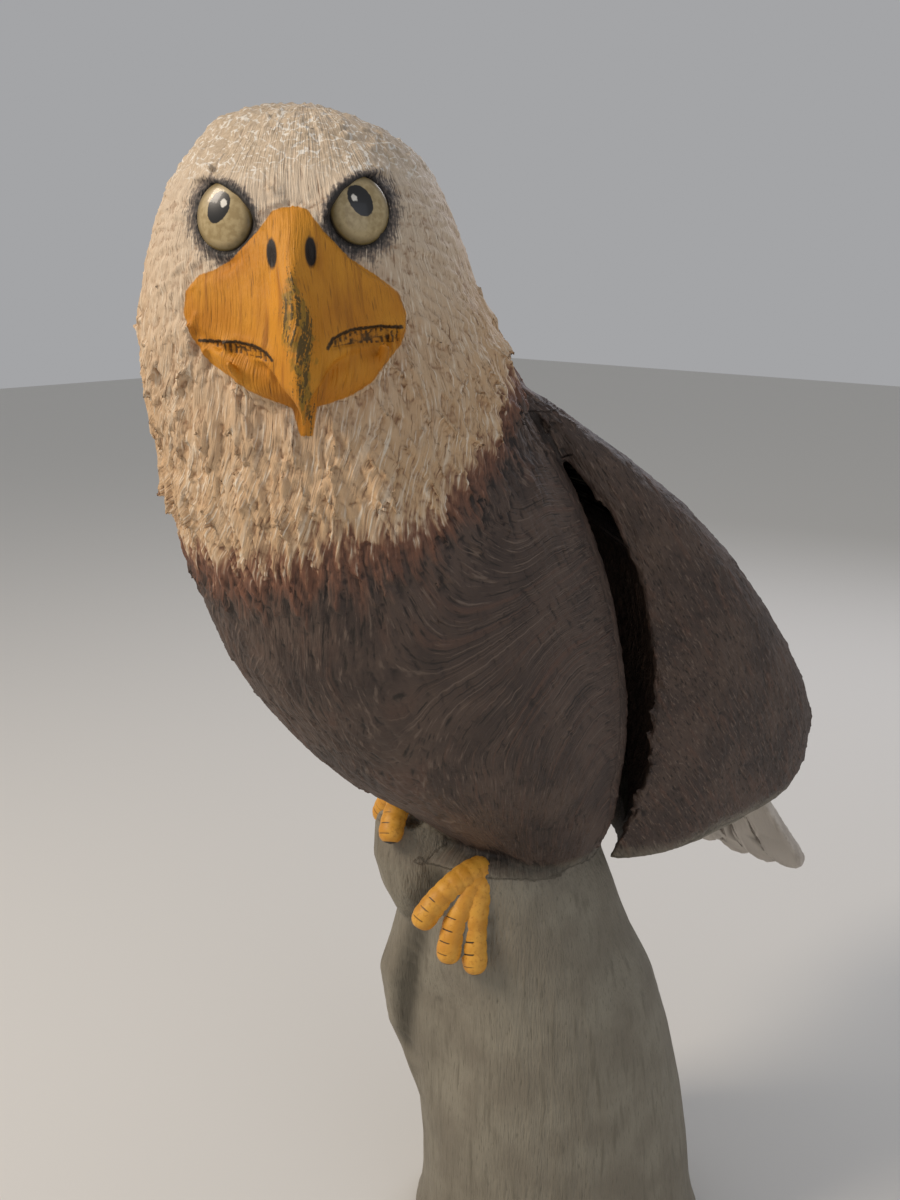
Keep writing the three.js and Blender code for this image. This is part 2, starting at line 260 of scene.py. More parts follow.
ring_places = np.linspace(0, len(RINGS) - 1, RING_STEPS)
RING = np.stack([np.interp(ring_places, np.arange(len(RINGS)), column) for column in RINGS.T], 1)
RING_MIDDLE = np.column_stack([np.full(RING_STEPS, BODY_ASIDE), RING[:, :2]])
evening = np.ones(EVENED_OVER) / EVENED_OVER
climbs = [np.pad(np.gradient(RING[:, k]), EVENED_OVER // 2, "edge") for k in (0, 1)]
climbs = [np.convolve(climb, evening, "valid") for climb in climbs]
RING_RISE = unit(np.column_stack([np.zeros(RING_STEPS), *climbs]))
RING_GAP = np.gradient(RING[:, 0]) * RING_RISE[:, 1] + np.gradient(RING[:, 1]) * RING_RISE[:, 2]


def ring_at(column, place):
    """A ring's values at places between two rings."""
    low = np.clip(np.floor(place).astype(int), 0, RING_STEPS - 2)
    share = (place - low)[:, None]
    return column[low] * (1 - share) + column[low + 1] * share


def along_body(points):
    """For each point: height along the body's rings, angle round them from the front, and its ring."""
    bird = points - BIRD
    best = np.full(len(points), np.inf)
    ring = np.zeros(len(points), int)
    for i in range(RING_STEPS):
        off = bird - RING_MIDDLE[i]
        miss = np.abs(off @ RING_RISE[i]) + 0.05 * np.linalg.norm(off, axis=1)
        closer = miss < best
        best[closer] = miss[closer]
        ring[closer] = i
    place = ring + np.sum((bird - RING_MIDDLE[ring]) * RING_RISE[ring], 1) / RING_GAP[ring]
    for _ in range(2):
        middle, rise = ring_at(RING_MIDDLE, place), unit(ring_at(RING_RISE, place))
        above = np.sum((bird - middle) * rise, 1)
        place = np.clip(place + 0.7 * above / RING_GAP[ring], 0, RING_STEPS - 1)
    middle, rise = ring_at(RING_MIDDLE, place), unit(ring_at(RING_RISE, place))
    off = bird - middle
    above = np.sum(off * rise, 1)
    yaw = HEAD_YAW * ring_at(RING[:, 5:6], place)[:, 0]
    ahead = np.column_stack([np.sin(yaw), -np.cos(yaw), np.zeros(len(yaw))])
    ahead = unit(ahead + rise * (np.cos(yaw) * rise[:, 1])[:, None])
    left = np.cross(rise, ahead)
    angle = np.arctan2(np.sum(off * left, 1), np.sum(off * ahead, 1))
    return middle[:, 2] + above, angle, ring


def lie_of_feathers(points, normals, level, ring):
    """The direction that the feathers point in, along the surface."""
    bird = points - BIRD
    lie = -RING_RISE[ring]
    away = points - FEATHER_SOURCE
    near = 1 - smooth(90, 190, np.linalg.norm(away, axis=1))
    lie = lie * (1 - near[:, None]) + unit(away) * near[:, None]
    flank = smooth(-200, -60, bird[:, 1]) * (1 - smooth(280, 390, level))
    lie = lie * (1 - flank[:, None]) + np.array([0, 1.0, -0.15]) * flank[:, None]
    thigh = 1 - smooth(70, 170, bird[:, 2])
    lie = lie * (1 - thigh[:, None]) + np.array([0, 0.2, -1.0]) * thigh[:, None]
    wing = wing_share(points)[:, None]
    lie = lie * (1 - wing) + WING_LIE * wing
    tail = (smooth(150, 180, bird[:, 1]) * (1 - smooth(-6, 2, bird[:, 2])))[:, None]
    lie = lie * (1 - tail) + TAIL_LIE * tail
    lie = lie - normals * np.sum(lie * normals, 1)[:, None]
    return unit(lie)


def wing_share(points):
    """1 on the folded wings and back, 0 on the body before them."""
    bird = points - BIRD
    edge = np.interp(bird[:, 2], WING_EDGE[:, 0], WING_EDGE[:, 1])
    return smooth(-10, 14, bird[:, 1] - edge) * (1 - smooth(380, 420, bird[:, 2]))


print("Ready to comb", RING_STEPS, "rings")

# %% [markdown]
# ## Outline of the beak
# The painted beak is a shield, narrow between the eyes and widest at the mouth. Its edge is kept as heights
# from the eye level, each with a half width, for the bird's left side (1) and right side (-1). The distance
# to that edge, in millimetres, is positive on the beak, so a cut or a coat of paint can follow it closely
# or loosely.

# %% Distance to the beak's edge, the mouth and the eyes
BEAK_EDGE = {
    1: [[7, 4], [5, 10], [-8, 19], [-25, 34], [-37, 51], [-47, 63], [-60, 67], [-72, 66]],
    -1: [[7, 4], [5, 11], [-4, 18], [-22, 38], [-28, 50], [-31, 61], [-40, 71], [-53, 74]],
}
BEAK_EDGE[1] += [[-79, 63], [-92, 50], [-100, 44], [-107, 32], [-111, 20], [-114, 8], [-132, 4]]
BEAK_EDGE[-1] += [[-68, 70], [-85, 59], [-93, 47], [-104, 31], [-110, 17], [-114, 8], [-132, 4]]
BEAK_EDGE = {side: np.array(edge, float) for side, edge in BEAK_EDGE.items()}
UPPER_LIP = {
    1: [[18, -77], [21, -72], [27, -69], [35, -67], [50, -66.5], [64, -68]],
    -1: [[-16, -83], [-20, -78], [-27, -74.5], [-38, -72], [-54, -71.5], [-65, -71]],
}
LOWER_LIP = {
    1: [[20, -78], [29, -77], [40, -77], [52, -77.5], [62, -78]],
    -1: [[-18, -85], [-27, -82.5], [-39, -80], [-50, -77], [-60, -73]],
}


def distance_to_line(points, line):
    """Distance in the plane from each point to a line through the given corners."""
    best = np.full(len(points), np.inf)
    for a, b in zip(line[:-1], line[1:]):
        a, b = np.asarray(a, float), np.asarray(b, float)
        share = np.clip(((points - a) @ (b - a)) / np.sum((b - a) ** 2), 0, 1)
        best = np.minimum(best, np.linalg.norm(points - a - share[:, None] * (b - a), axis=1))
    return best


def beak_depth(face):
    """How far inside the beak's painted edge a point is, in millimetres. Negative outside."""
    signed = np.zeros(len(face))
    for side, edge in BEAK_EDGE.items():
        own = face[:, 0] * side >= 0
        x, z = np.abs(face[own, 0]), face[own, 2]
        far = distance_to_line(np.column_stack([x, z]), edge[:, ::-1])
        inside = (x < np.interp(-z, -edge[:, 0], edge[:, 1])) & (z < edge[0, 0]) & (z > edge[-1, 0])
        signed[own] = np.where(inside, far, -far)
    return np.where(face[:, 1] < -64, signed, -60.0)


def mouth_distance(face):
    """Distance to the upper lip's line, and 1 between the lips."""
    flat = face[:, [0, 2]]
    far = np.minimum(*[distance_to_line(flat, lip) for lip in UPPER_LIP.values()])
    between = np.zeros(len(face))
    for side in (1, -1):
        upper, lower = (np.array(lips[side])[:: side] for lips in (UPPER_LIP, LOWER_LIP))
        below = np.interp(flat[:, 0], upper[:, 0], upper[:, 1]) - flat[:, 1]
        above = flat[:, 1] - np.interp(flat[:, 0], lower[:, 0], lower[:, 1])
        on = (flat[:, 0] * side > lower[0 if side > 0 else -1, 0] * side) & (np.abs(flat[:, 0]) < 62)
        between = np.maximum(between, on * smooth(-0.5, 1, np.minimum(below, above)))
    in_front = face[:, 1] < -64
    return np.where(in_front, far, 60.0), between * in_front


def eye_distance(face):
    """Distance from the nearer eye's centre across the face, drawn out so that the eye's rim is a circle."""
    side = np.where(face[:, 0] > 0, 1, -1)
    far = np.hypot((face[:, 0] - side * EYE_SPREAD) * EYE_TALL / EYE_WIDE, face[:, 2] - EYE_RAISED)
    return np.where(face[:, 1] < -15, far, 200.0)


# %% [markdown]
# ## Brows, lids and keel
# The eagle's stare comes from its brows: each is a shelf that slants over the eye, low at the beak and high
# outside. The CAD solid has the eyes, brows and beak as simple forms. Here they are worked as a carver
# would finish them. Each eye lies back in a shallow bed with a thin lid round it, the brow becomes a sharp
# shelf, and the beak's keel is narrowed by hollowing the flanks beside it. These moves go forward or back
# along the way the head faces. Two more go up and down: the beak's right lobe is lifted, and the hook's tip
# is drawn down and pinched.


# %% Work the face
BROW_LINE = [[16, -12], [20, -3], [23.5, 6], [31, 15], [41, 22], [52, 26], [64, 27], [76, 18]]
BROW_LINE = np.array(BROW_LINE, float)
BROW_SHELF = 8.5  # these depths are in millimetres
BROW_EDGE = 0.5
EYE_BED = 3.4
LID_RISE = 1.6
LOBE_LIFT = 8.0  # how much higher the beak's right lobe is than the left one
HOOK_DROP = 6.5
KEEL_RISE = 2.2
FLANK_HOLLOW = 3.6
LIP_RISE = 1.2
MOUTH_DEPTH = 2.6
# The keel down the beak: height, middle and half width
KEEL = [[-125, 1, 3], [-95, 1, 5.7], [-73, 1, 9.3], [-55, -2, 9.5], [-40, -3, 6], [-25, -2, 4]]
KEEL = np.array(KEEL, float)


def face_front(x, z):
    """How far forward the bare, rounded face stands at a place on it."""
    front = np.interp(z, [-80, -40, 0, 10, 20, 30, 40, 50, 62], [104, 102, 98, 95.6, 91.3, 85, 77, 69, 57])
    half = np.interp(z, [-80, 0, 30, 50, 62], [112, 101, 87, 72, 60])
    return front * np.sqrt(np.clip(1 - (x / half) ** 2, 0.02, 1)) + 0.03 * x


def worked_face(points):
    """The points of the block with the brows, lids and keel worked."""
    face = in_head(points)
    lobe = smooth(28, 62, -face[:, 0]) * smooth(-12, -34, face[:, 2]) * (1 - smooth(-112, -135, face[:, 2]))
    face[:, 2] += LOBE_LIFT * lobe * smooth(40, 60, -face[:, 1])
    hook = smooth(22, 12, np.abs(face[:, 0] - 1)) * smooth(108, 118, -face[:, 1])
    hook *= smooth(-96, -114, face[:, 2])
    face[:, 2] -= HOOK_DROP * hook * (1 - 0.7 * smooth(0, 6, np.abs(face[:, 0] - 1)))
    face[:, 0] -= 0.75 * (face[:, 0] - 1) * hook
    x, z, ahead = face[:, 0], face[:, 2], -face[:, 1]
    in_front = smooth(15, 35, ahead)
    bare = face_front(x, z)
    far = eye_distance(face)
    near_eye = smooth(EYE_TALL - 1, EYE_TALL + 1, far)
    lid = LID_RISE * near_eye * (1 - smooth(EYE_TALL + 1, EYE_TALL + 9, far)) - EYE_BED * (1 - near_eye)
    by_eye = (1 - smooth(29, 35, far)) * in_front * smooth(1, -2, beak_depth(face))
    ahead = ahead * (1 - by_eye) + (bare + lid) * by_eye
    above = z > np.interp(np.abs(x), BROW_LINE[:, 0], BROW_LINE[:, 1])
    line_far = distance_to_line(np.column_stack([np.abs(x), z]), BROW_LINE)
    shelf = BROW_SHELF * (1 - smooth(44, 78, np.abs(x))) + BROW_EDGE
    brow = np.where(above, shelf * np.exp(-line_far / 16), shelf - 6 * line_far) - 30 * smooth(44, 60, z)
    brow -= 30 * smooth(60, 74, np.abs(x))
    brow_on = in_front * (np.abs(x) < 80) * (z > -14) * (beak_depth(face) < 0)
    ahead = np.where(brow_on > 0.5, np.maximum(ahead, bare + brow), ahead)
    on_beak = smooth(0, 6, beak_depth(face)) * smooth(-22, -40, z)
    keel_x = np.interp(z, KEEL[:, 0], KEEL[:, 1])
    from_edge = np.abs(x - keel_x) - np.interp(z, KEEL[:, 0], KEEL[:, 2])
    hollowed = np.exp(-(((from_edge - 7) / 5.5) ** 2))
    keel = KEEL_RISE * smooth(1.5, -1.5, from_edge) - FLANK_HOLLOW * hollowed * smooth(-100, -88, z)
    lip_far, between = mouth_distance(face)
    lips = LIP_RISE * smooth(5, 1, lip_far) * (1 - between) - MOUTH_DEPTH * between
    ahead += on_beak * (keel + lips)
    face[:, 1] = -ahead
    return from_head(face)


move_points(form_mesh, worked_face(points_of(form_mesh)))
at = points_of(form_mesh)
out = normals_of(form_mesh)
level, angle, ring = along_body(at)
keep_on_points(form_mesh, "lie", lie_of_feathers(at, out, level, ring))
face = in_head(at)
beak = beak_depth(face)
eye_far = eye_distance(face)
print("The beak's paint covers", np.sum(beak > 0), "points")

# %% [markdown]
# ## Locks and barbs
# The carver repeats one cut thousands of times: small scales on the crown, short locks on the cheeks, long
# ones down the neck, fine barbs on the breast, and broader ones on the wings. Geometry Nodes suit that:
# points are scattered at an even spacing, a lock is set on each, turned to lie with its neighbours, and all
# are made real. Each lock's root is sunk and its tip stands proud, so the rows overlap like shingles. A
# second remesh then melts the locks and the form into one skin, as they are in the wood.

# %% One lock, straight or bent
LOCK_ROWS = 6
LOCK_COLUMNS = 4


def lock_shape(name, bend):
    """A closed lock one unit long, one wide and one high, its root sunk and its tip proud."""
    u, v = np.meshgrid(np.linspace(0, 1, LOCK_ROWS), np.linspace(-1, 1, LOCK_COLUMNS), indexing="ij")
    half = 0.5 * np.minimum(1, 0.45 + 1.5 * u) * (1 - 0.85 * np.maximum(0, (u - 0.5) / 0.5) ** 2.2)
    y = v * half + bend * 0.3 * np.sin(math.pi * u) - bend * 0.15
    top = -0.7 + 1.25 * u + 0.45 * (1 - v**2)
    upper = np.stack([u - 0.5, y, top], -1).reshape(-1, 3)
    lower = np.stack([u - 0.5, y, np.full_like(u, -3.0)], -1).reshape(-1, 3)
    count = LOCK_ROWS * LOCK_COLUMNS
    quads = []
    for i in range(LOCK_ROWS - 1):
        for j in range(LOCK_COLUMNS - 1):
            a = i * LOCK_COLUMNS + j
            quad = [a, a + LOCK_COLUMNS, a + LOCK_COLUMNS + 1, a + 1]
            quads += [quad, [count + k for k in reversed(quad)]]
    rim = list(range(LOCK_COLUMNS))
    rim += [i * LOCK_COLUMNS + LOCK_COLUMNS - 1 for i in range(1, LOCK_ROWS)]
    rim += [(LOCK_ROWS - 1) * LOCK_COLUMNS + j for j in range(LOCK_COLUMNS - 2, -1, -1)]
    rim += [i * LOCK_COLUMNS for i in range(LOCK_ROWS - 2, 0, -1)]
    for a, b in zip(rim, rim[1:] + rim[:1]):
        quads.append([a, b, b + count, a + count])
    mesh = bpy.data.meshes.new(name)
    mesh.from_pydata(np.vstack([upper, lower]).tolist(), [], quads)
    return mesh


lock_shapes = bpy.data.collections.new("lock_shapes")
for bend in (-1, 0, 1):
    lock_shapes.objects.link(bpy.data.objects.new(f"lock_{bend + 1}", lock_shape("lock", bend)))


# %% A helper that adds one node
def node(tree, kind, inputs=None, **settings):
    """Adds a node with its settings. An input's value is a number, a colour or another node's output."""
    made = tree.nodes.new(kind)
    for name, value in settings.items():
        setattr(made, name, value)
    for key, value in (inputs or {}).items():
        if isinstance(value, bpy.types.NodeSocket):
            tree.links.new(value, made.inputs[key])
        else:
            made.inputs[key].default_value = value
    return made


def new_tree(name, sockets):
    """A Geometry Nodes tree with named inputs and one mesh out."""
    tree = bpy.data.node_groups.new(name, "GeometryNodeTree")
    for socket, kind in sockets.items():
        tree.interface.new_socket(name=socket, in_out="INPUT", socket_type="NodeSocket" + kind)
    tree.interface.new_socket(name="Mesh", in_out="OUTPUT", socket_type="NodeSocketGeometry")
    return tree


def set_inputs(modifier, **values):
    """Sets a tree's inputs by their identifiers. Spaces in a name are written as underscores."""
    for item in modifier.node_group.interface.items_tree:
        name = item.name.replace(" ", "_")
        if item.in_out == "INPUT" and name in values:
            modifier[item.identifier] = values[name]


# %% The tree that sets locks over a surface
lock_tree = new_tree(
    "locks_over_a_surface",
    {
        "Mesh": "Geometry",
        "Shapes": "Collection",
        "Where": "String",
        "Spacing": "Float",
        "Length": "Float",
        "Width": "Float",
        "Rise": "Float",
        "Stray": "Float",
        "Seed": "Int",
        "Paint": "Material",
    },
)
given = node(lock_tree, "NodeGroupInput").outputs
where = node(lock_tree, "GeometryNodeInputNamedAttribute", {"Name": given["Where"]}, data_type="FLOAT")
crowd = node(lock_tree, "ShaderNodeMath", {0: given["Spacing"], 1: -2.0}, operation="POWER")
scatter = node(
    lock_tree,
    "GeometryNodeDistributePointsOnFaces",
    {
        "Mesh": given["Mesh"],
        "Distance Min": given["Spacing"],
        "Density Max": crowd.outputs[0],
        "Density Factor": where.outputs["Attribute"],
        "Seed": given["Seed"],
    },
    distribute_method="POISSON",
)
turn_to = "FunctionNodeAlignRotationToVector"
upright = node(lock_tree, turn_to, {"Vector": scatter.outputs["Normal"]}, axis="Z")
lie = node(lock_tree, "GeometryNodeInputNamedAttribute", {"Name": "lie"}, data_type="FLOAT_VECTOR")
lying = node(
    lock_tree,
    turn_to,
    {"Rotation": upright.outputs[0], "Vector": lie.outputs["Attribute"]},
    axis="X",
    pivot_axis="Z",
)
least = node(lock_tree, "ShaderNodeMath", {0: given["Stray"], 1: -1.0}, operation="MULTIPLY")
yaw = node(lock_tree, "FunctionNodeRandomValue", {2: least.outputs[0], 3: given["Stray"], "Seed": 1})
stray = node(lock_tree, "ShaderNodeCombineXYZ", {"Z": yaw.outputs[1]})
as_turn = node(lock_tree, "FunctionNodeEulerToRotation", {"Euler": stray.outputs[0]})
strayed = node(
    lock_tree,
    "FunctionNodeRotateRotation",
    {"Rotation": lying.outputs[0], "Rotate By": as_turn.outputs[0]},
    rotation_space="LOCAL",
)
sizes = {}
for i, side in enumerate(("Length", "Width", "Rise")):
    vary = node(lock_tree, "FunctionNodeRandomValue", {2: 0.7, 3: 1.25, "Seed": 2 + i})
    varied = node(lock_tree, "ShaderNodeMath", {0: given[side], 1: vary.outputs[1]}, operation="MULTIPLY")
    sizes[i] = varied.outputs[0]
size = node(lock_tree, "ShaderNodeCombineXYZ", sizes)
shapes = node(lock_tree, "GeometryNodeCollectionInfo", {0: given["Shapes"], 1: True, 2: True})
placed = node(
    lock_tree,
    "GeometryNodeInstanceOnPoints",
    {
        "Points": scatter.outputs["Points"],
        "Instance": shapes.outputs[0],
        "Pick Instance": True,
        "Rotation": strayed.outputs[0],
        "Scale": size.outputs[0],
    },
)
real = node(lock_tree, "GeometryNodeRealizeInstances", {"Geometry": placed.outputs[0]})
coated = {"Geometry": real.outputs[0], "Material": given["Paint"]}
painted = node(lock_tree, "GeometryNodeSetMaterial", coated)
node(lock_tree, "NodeGroupOutput", {0: painted.outputs[0]})
print("The lock tree has", len(lock_tree.nodes), "nodes")

# %% [markdown]
# ## Where each kind of lock grows
# The same tree is used five times. Only the sizes, which were judged from the photograph, and the place
# change. The place is a number from 0 to 1 on each point, so that two kinds of lock mingle where they meet.

# %% Places and sizes of the locks
bare = smooth(3, -4, beak) * smooth(29, 36, eye_far)  # no locks on the beak or in the eye sockets
forehead = smooth(8, 16, face[:, 2]) * (1 - smooth(44, 58, face[:, 2])) * smooth(-55, -75, face[:, 1])
wing = wing_share(at)
behind = smooth(1.5, 2.1, np.abs(angle))
tail_side = tail_share(at)
# The middle of the knob that the right foot grips, and the groove that runs down the stump below it
KNOB = np.array([[-36, -74, 320], [-58, -104, 350], [-70, -113, 392], [-76, -117, 432]], float)
GROOVE = [[-26, -139, 392], [-45, -142, 350], [-63, -136, 299], [-73, -134, 253], [-82, -131, 205]]
GROOVE = np.array(GROOVE, float)


def distance_to_path(points, path):
    """Distance in space from each point to a path, by way of spots that are set along it."""
    spots = [a + (b - a) * s for a, b in zip(path, path[1:]) for s in (0, 0.25, 0.5, 0.75, 1)]
    return np.min([np.linalg.norm(points - spot, axis=1) for spot in spots], axis=0)


above_feet = smooth(422, 440, at[:, 2]) * smooth(44, 60, distance_to_path(at, KNOB))
wing_edge = np.interp(at[:, 2] - BIRD[2], WING_EDGE[:, 0], WING_EDGE[:, 1])
before_cut = 1 - smooth(-32, -16, at[:, 1] - wing_edge) * (1 - smooth(650, 700, at[:, 2]))
hidden = 1 - smooth(-0.85, -0.6, out[:, 2])
coverts = (1 - wing) * bare
crown_top = np.maximum(smooth(553, 568, level), behind * smooth(480, 500, level))
cheeks = coverts * smooth(452, 466, level) * (1 - smooth(556, 570, level))
below_neck = (1 - wing) * (1 - smooth(340, 356, level))
places = {
    "crown": coverts * crown_top * (1 - forehead),
    "cheek": cheeks * (1 - forehead) * (1 - behind),
    "neck": coverts * smooth(338, 350, level) * (1 - smooth(455, 474, level)),
    "breast": below_neck * above_feet * (1 - tail_side) * (1 - hidden) * before_cut,
    "wings": wing * (1 - tail_side) * (1 - hidden) * smooth(414, 426, at[:, 2]),
}
for name, share in places.items():
    keep_on_points(form_mesh, name, share)

# Name, spacing, length, width and rise in millimetres, then how far a lock strays, in radians
LOCKS = [
    ("crown", 6.0, 14, 8.0, 1.7, 0.6),
    ("cheek", 4.8, 26, 4.6, 1.0, 0.25),
    ("neck", 6.0, 46, 6.5, 2.0, 0.3),
    ("breast", 5.2, 34, 4.4, 0.9, 0.16),
    ("wings", 5.8, 24, 6.0, 1.1, 0.22),
]

# %% Carve them
form = shown("form", form_mesh)
cuts = [form_mesh]
for seed, (name, spacing, length, width, rise, stray_by) in enumerate(LOCKS):
    carve = form.modifiers.new(name, "NODES")
    carve.node_group = lock_tree
    set_inputs(
        carve,
        Shapes=lock_shapes,
        Where=name,
        Spacing=spacing * MM,
        Length=length * MM,
        Width=width * MM,
        Rise=rise * MM,
        Stray=stray_by,
        Seed=seed + 3,
    )
    cuts.append(baked(form, name))
    form.modifiers.remove(carve)

# %% [markdown]
# ## One skin
# Form and locks go through a finer voxel remesh, fine enough for a 4 mm barb. What comes out is one closed
# surface, like a block that has been carved and lightly sanded. Flat places don't need a point every 1.6
# mm, so Decimate takes points out where the surface is flat and leaves them at the cuts.

# %% Melt the locks into the block
FINE_VOXEL = 1.6 * MM
TRIANGLES = 700000
SANDING = 0.25

gathered = bmesh.new()
for mesh in cuts:
    gathered.from_mesh(mesh)
carved_mesh = bpy.data.meshes.new("carved")
gathered.to_mesh(carved_mesh)
gathered.free()
bpy.data.objects.remove(form)
carved = shown("carved", carved_mesh)
carved.modifiers.new("Skin", "REMESH").voxel_size = FINE_VOXEL
sanded = carved.modifiers.new("Sand", "SMOOTH")
sanded.factor = SANDING
sanded.iterations = 1
carved_skin = baked(carved, "carved_skin")
thrown_away(carved)
whole = shown("whole", carved_skin)
carved_skin.calc_loop_triangles()
thin = whole.modifiers.new("Thin", "DECIMATE")
thin.ratio = TRIANGLES / len(carved_skin.loop_triangles)
whole.modifiers.new("Triangles", "TRIANGULATE")
whole_mesh = baked(whole, "whole")
thrown_away(whole)
for shape in list(lock_shapes.objects):
    thrown_away(shape)
print("The carved skin has", len(whole_mesh.vertices), "points")

# %% [markdown]
# ## Hair lines
# Between the locks the V-tool leaves hair lines that follow the feathers. Noise that is averaged along the
# lie of the feathers gives just that: it changes quickly across them and slowly along them. The same
# numbers are kept for the painter, whose brush followed the same lines.


# %% Noise, and noise combed along the feathers
NOISE_SIDE = 64
COMB_TEETH = 7  # how many places along a feather are averaged
COMB_GAIN = 2.2  # brings the average back to about -1 to 1


def noise(points, size, seed):
    """Smooth noise from -1 to 1 with lumps of the given size, from a repeating block of random numbers."""
    block = np.random.default_rng(seed).uniform(-1, 1, NOISE_SIDE**3)
    scaled = points / size
    cell = np.floor(scaled).astype(np.int64)
    share = scaled - cell
    share = share * share * (3 - 2 * share)
    total = np.zeros(len(points))
    for corner in range(8):
        weight, place = 1.0, 0
        for axis in range(3):
            step = corner >> axis & 1
            weight = weight * (share[:, axis] if step else 1 - share[:, axis])
            place = place * NOISE_SIDE + (cell[:, axis] + step) % NOISE_SIDE
        total += weight * block[place]
    return total


def combed(points, lie, size, length, seed):
    """Noise averaged along the feathers, scaled back to about -1 to 1."""
    steps = np.linspace(-0.5, 0.5, COMB_TEETH) * length
    return sum(noise(points + lie * s, size, seed) for s in steps) / len(steps) * COMB_GAIN


def v_cuts(value, width):
    """Sharp V-shaped cuts, 1 deep, where a smooth value passes through zero."""
    return np.maximum(0, 1 - np.abs(value) / width)


at = points_of(whole_mesh)
out = normals_of(whole_mesh)
level, angle, ring = along_body(at)
lie = lie_of_feathers(at, out, level, ring)
face = in_head(at)
beak = beak_depth(face)
_, between = mouth_distance(face)
eye_far = eye_distance(face)
print("Hair lines on", len(at), "points")

# %% Cut the hair lines, the notches between the lips, and the stump's tool marks and groove
PERCH = 385  # height in millimetres where the stump's wood ends
HAIR_RISE = 0.35  # these depths are in millimetres
STRAND_DEPTH = 0.8
NECK_STRAND_DEPTH = 1.1
NET_DEPTH = 1.2
TEETH_DEPTH = 1.2
BARK_RISE = 0.35
STUMP_WAVES = 0.8
GROOVE_DEPTH = 6
GROOVE_HALF = 15

tail_side = tail_share(at)
on_stump = (1 - smooth(PERCH, PERCH + 18, at[:, 2])) * (1 - tail_side)
wander = 0.5 * noise(at, 30, 9)
lie = unit(lie + np.cross(out, lie) * wander[:, None])
strands = v_cuts(combed(at, lie, 5.0, 34, 11), 0.45)
hair = combed(at, lie, 2.6, 18, 14)
net = v_cuts(noise(at, 6.5, 15), 0.3)
on_beak = smooth(-1, 2, beak)
in_eye = smooth(EYE_TALL + 3, EYE_TALL, eye_far) * smooth(-60, -70, face[:, 1])
feathered = (1 - on_stump) * (1 - on_beak) * (1 - in_eye)
crown = smooth(545, 570, level)
neck = smooth(335, 355, level) * (1 - crown)
wing = wing_share(at)
strand_depth = STRAND_DEPTH + NECK_STRAND_DEPTH * neck * (1 - smooth(440, 500, level)) + 0.3 * neck
strand_depth = strand_depth * (1 - crown) * (1 - 0.3 * wing)
depth = feathered * (HAIR_RISE * hair - strand_depth * strands - NET_DEPTH * crown * net)
depth += 0.12 * hair * on_beak
teeth = 0.5 + 0.5 * np.sin(face[:, 0] * 2.0)
depth -= TEETH_DEPTH * between * teeth * on_beak
bark = combed(at, UP, 8, 90, 12)
groove = np.exp(-((distance_to_path(at, GROOVE) / GROOVE_HALF) ** 2))
depth += on_stump * (BARK_RISE * bark + STUMP_WAVES * noise(at, 55, 13) - GROOVE_DEPTH * groove)
depth *= smooth(0, 6, at[:, 2])
move_points(whole_mesh, at + out * depth[:, None])
print("The deepest cut is", round(-depth.min(), 1), "mm")

# %% [markdown]
# ## Where each paint goes
# Every paint needs a place. Most places are a distance in millimetres from the paint's edge, so the
# material can make one edge crisp, as at the beak, and another soft, as where the white fades into the
# brown. A few are shares from 0 to 1, such as the tail and the cuts. The comb gives the brush strokes their
# direction.

# %% Mark the paints' places
COMB_RADIUS = 110.0
COMB_STRETCH = 0.12
WOOD_TOP = 408  # height where the stump's paint ends
KNOB_RADIUS = 46


def comb_of(points, level, angle, wing, tail_side, on_stump):
    """Three numbers for each point that change quickly across the feathers and slowly along them."""
    back = np.abs(angle)
    swirl = smooth(0.3, 1.7, back) * (1 - smooth(2.5, 3.0, back))
    bend = swirl * (1.7 * np.minimum(level - 340, 0) + 0.5 * np.maximum(level - 340, 0))
    turn = np.sign(angle) * (back + bend / COMB_RADIUS) + 0.06 * noise(points, 40, 31)
    comb = np.column_stack([np.cos(turn) * COMB_RADIUS, np.sin(turn) * COMB_RADIUS, level * COMB_STRETCH])
    for place, lie in ((wing, WING_LIE), (tail_side, TAIL_LIE), (on_stump, UP)):
        flat = points - (1 - COMB_STRETCH) * (points @ lie)[:, None] * lie
        comb = np.where(place[:, None] > 0.5, flat, comb)
    return comb


at = points_of(whole_mesh)
out = normals_of(whole_mesh)
face = in_head(at)
mouth, between = mouth_distance(face)
eye_far = eye_distance(face)
nostril = np.hypot((np.abs(face[:, 0] + 0.5) - 11.8) / 3.4, (face[:, 2] + 20) / 9.5)
brow_line = distance_to_line(np.column_stack([np.abs(face[:, 0]), face[:, 2]]), BROW_LINE)
above_brow = face[:, 2] > np.interp(np.abs(face[:, 0]), BROW_LINE[:, 0], BROW_LINE[:, 1])
socket = eye_far - EYE_TALL + np.where(above_brow, 1.6 * brow_line, 0)
tail_side = tail_share(at, 396, 402)
wood_top = WOOD_TOP + 6 * noise(at, 30, 21)
stump_depth = np.maximum(wood_top - at[:, 2], KNOB_RADIUS - distance_to_path(at, KNOB))
stump_depth = np.where(tail_side > 0.5, -40, stump_depth)
keel_x = np.interp(face[:, 2], KEEL[:, 0], KEEL[:, 1])
keel_edge = np.abs(face[:, 0] - keel_x - 2) - np.interp(face[:, 2], KEEL[:, 0], KEEL[:, 2])
keel_edge = np.maximum(keel_edge, -3) + 0.12 * np.maximum(face[:, 2] + 45, 0)
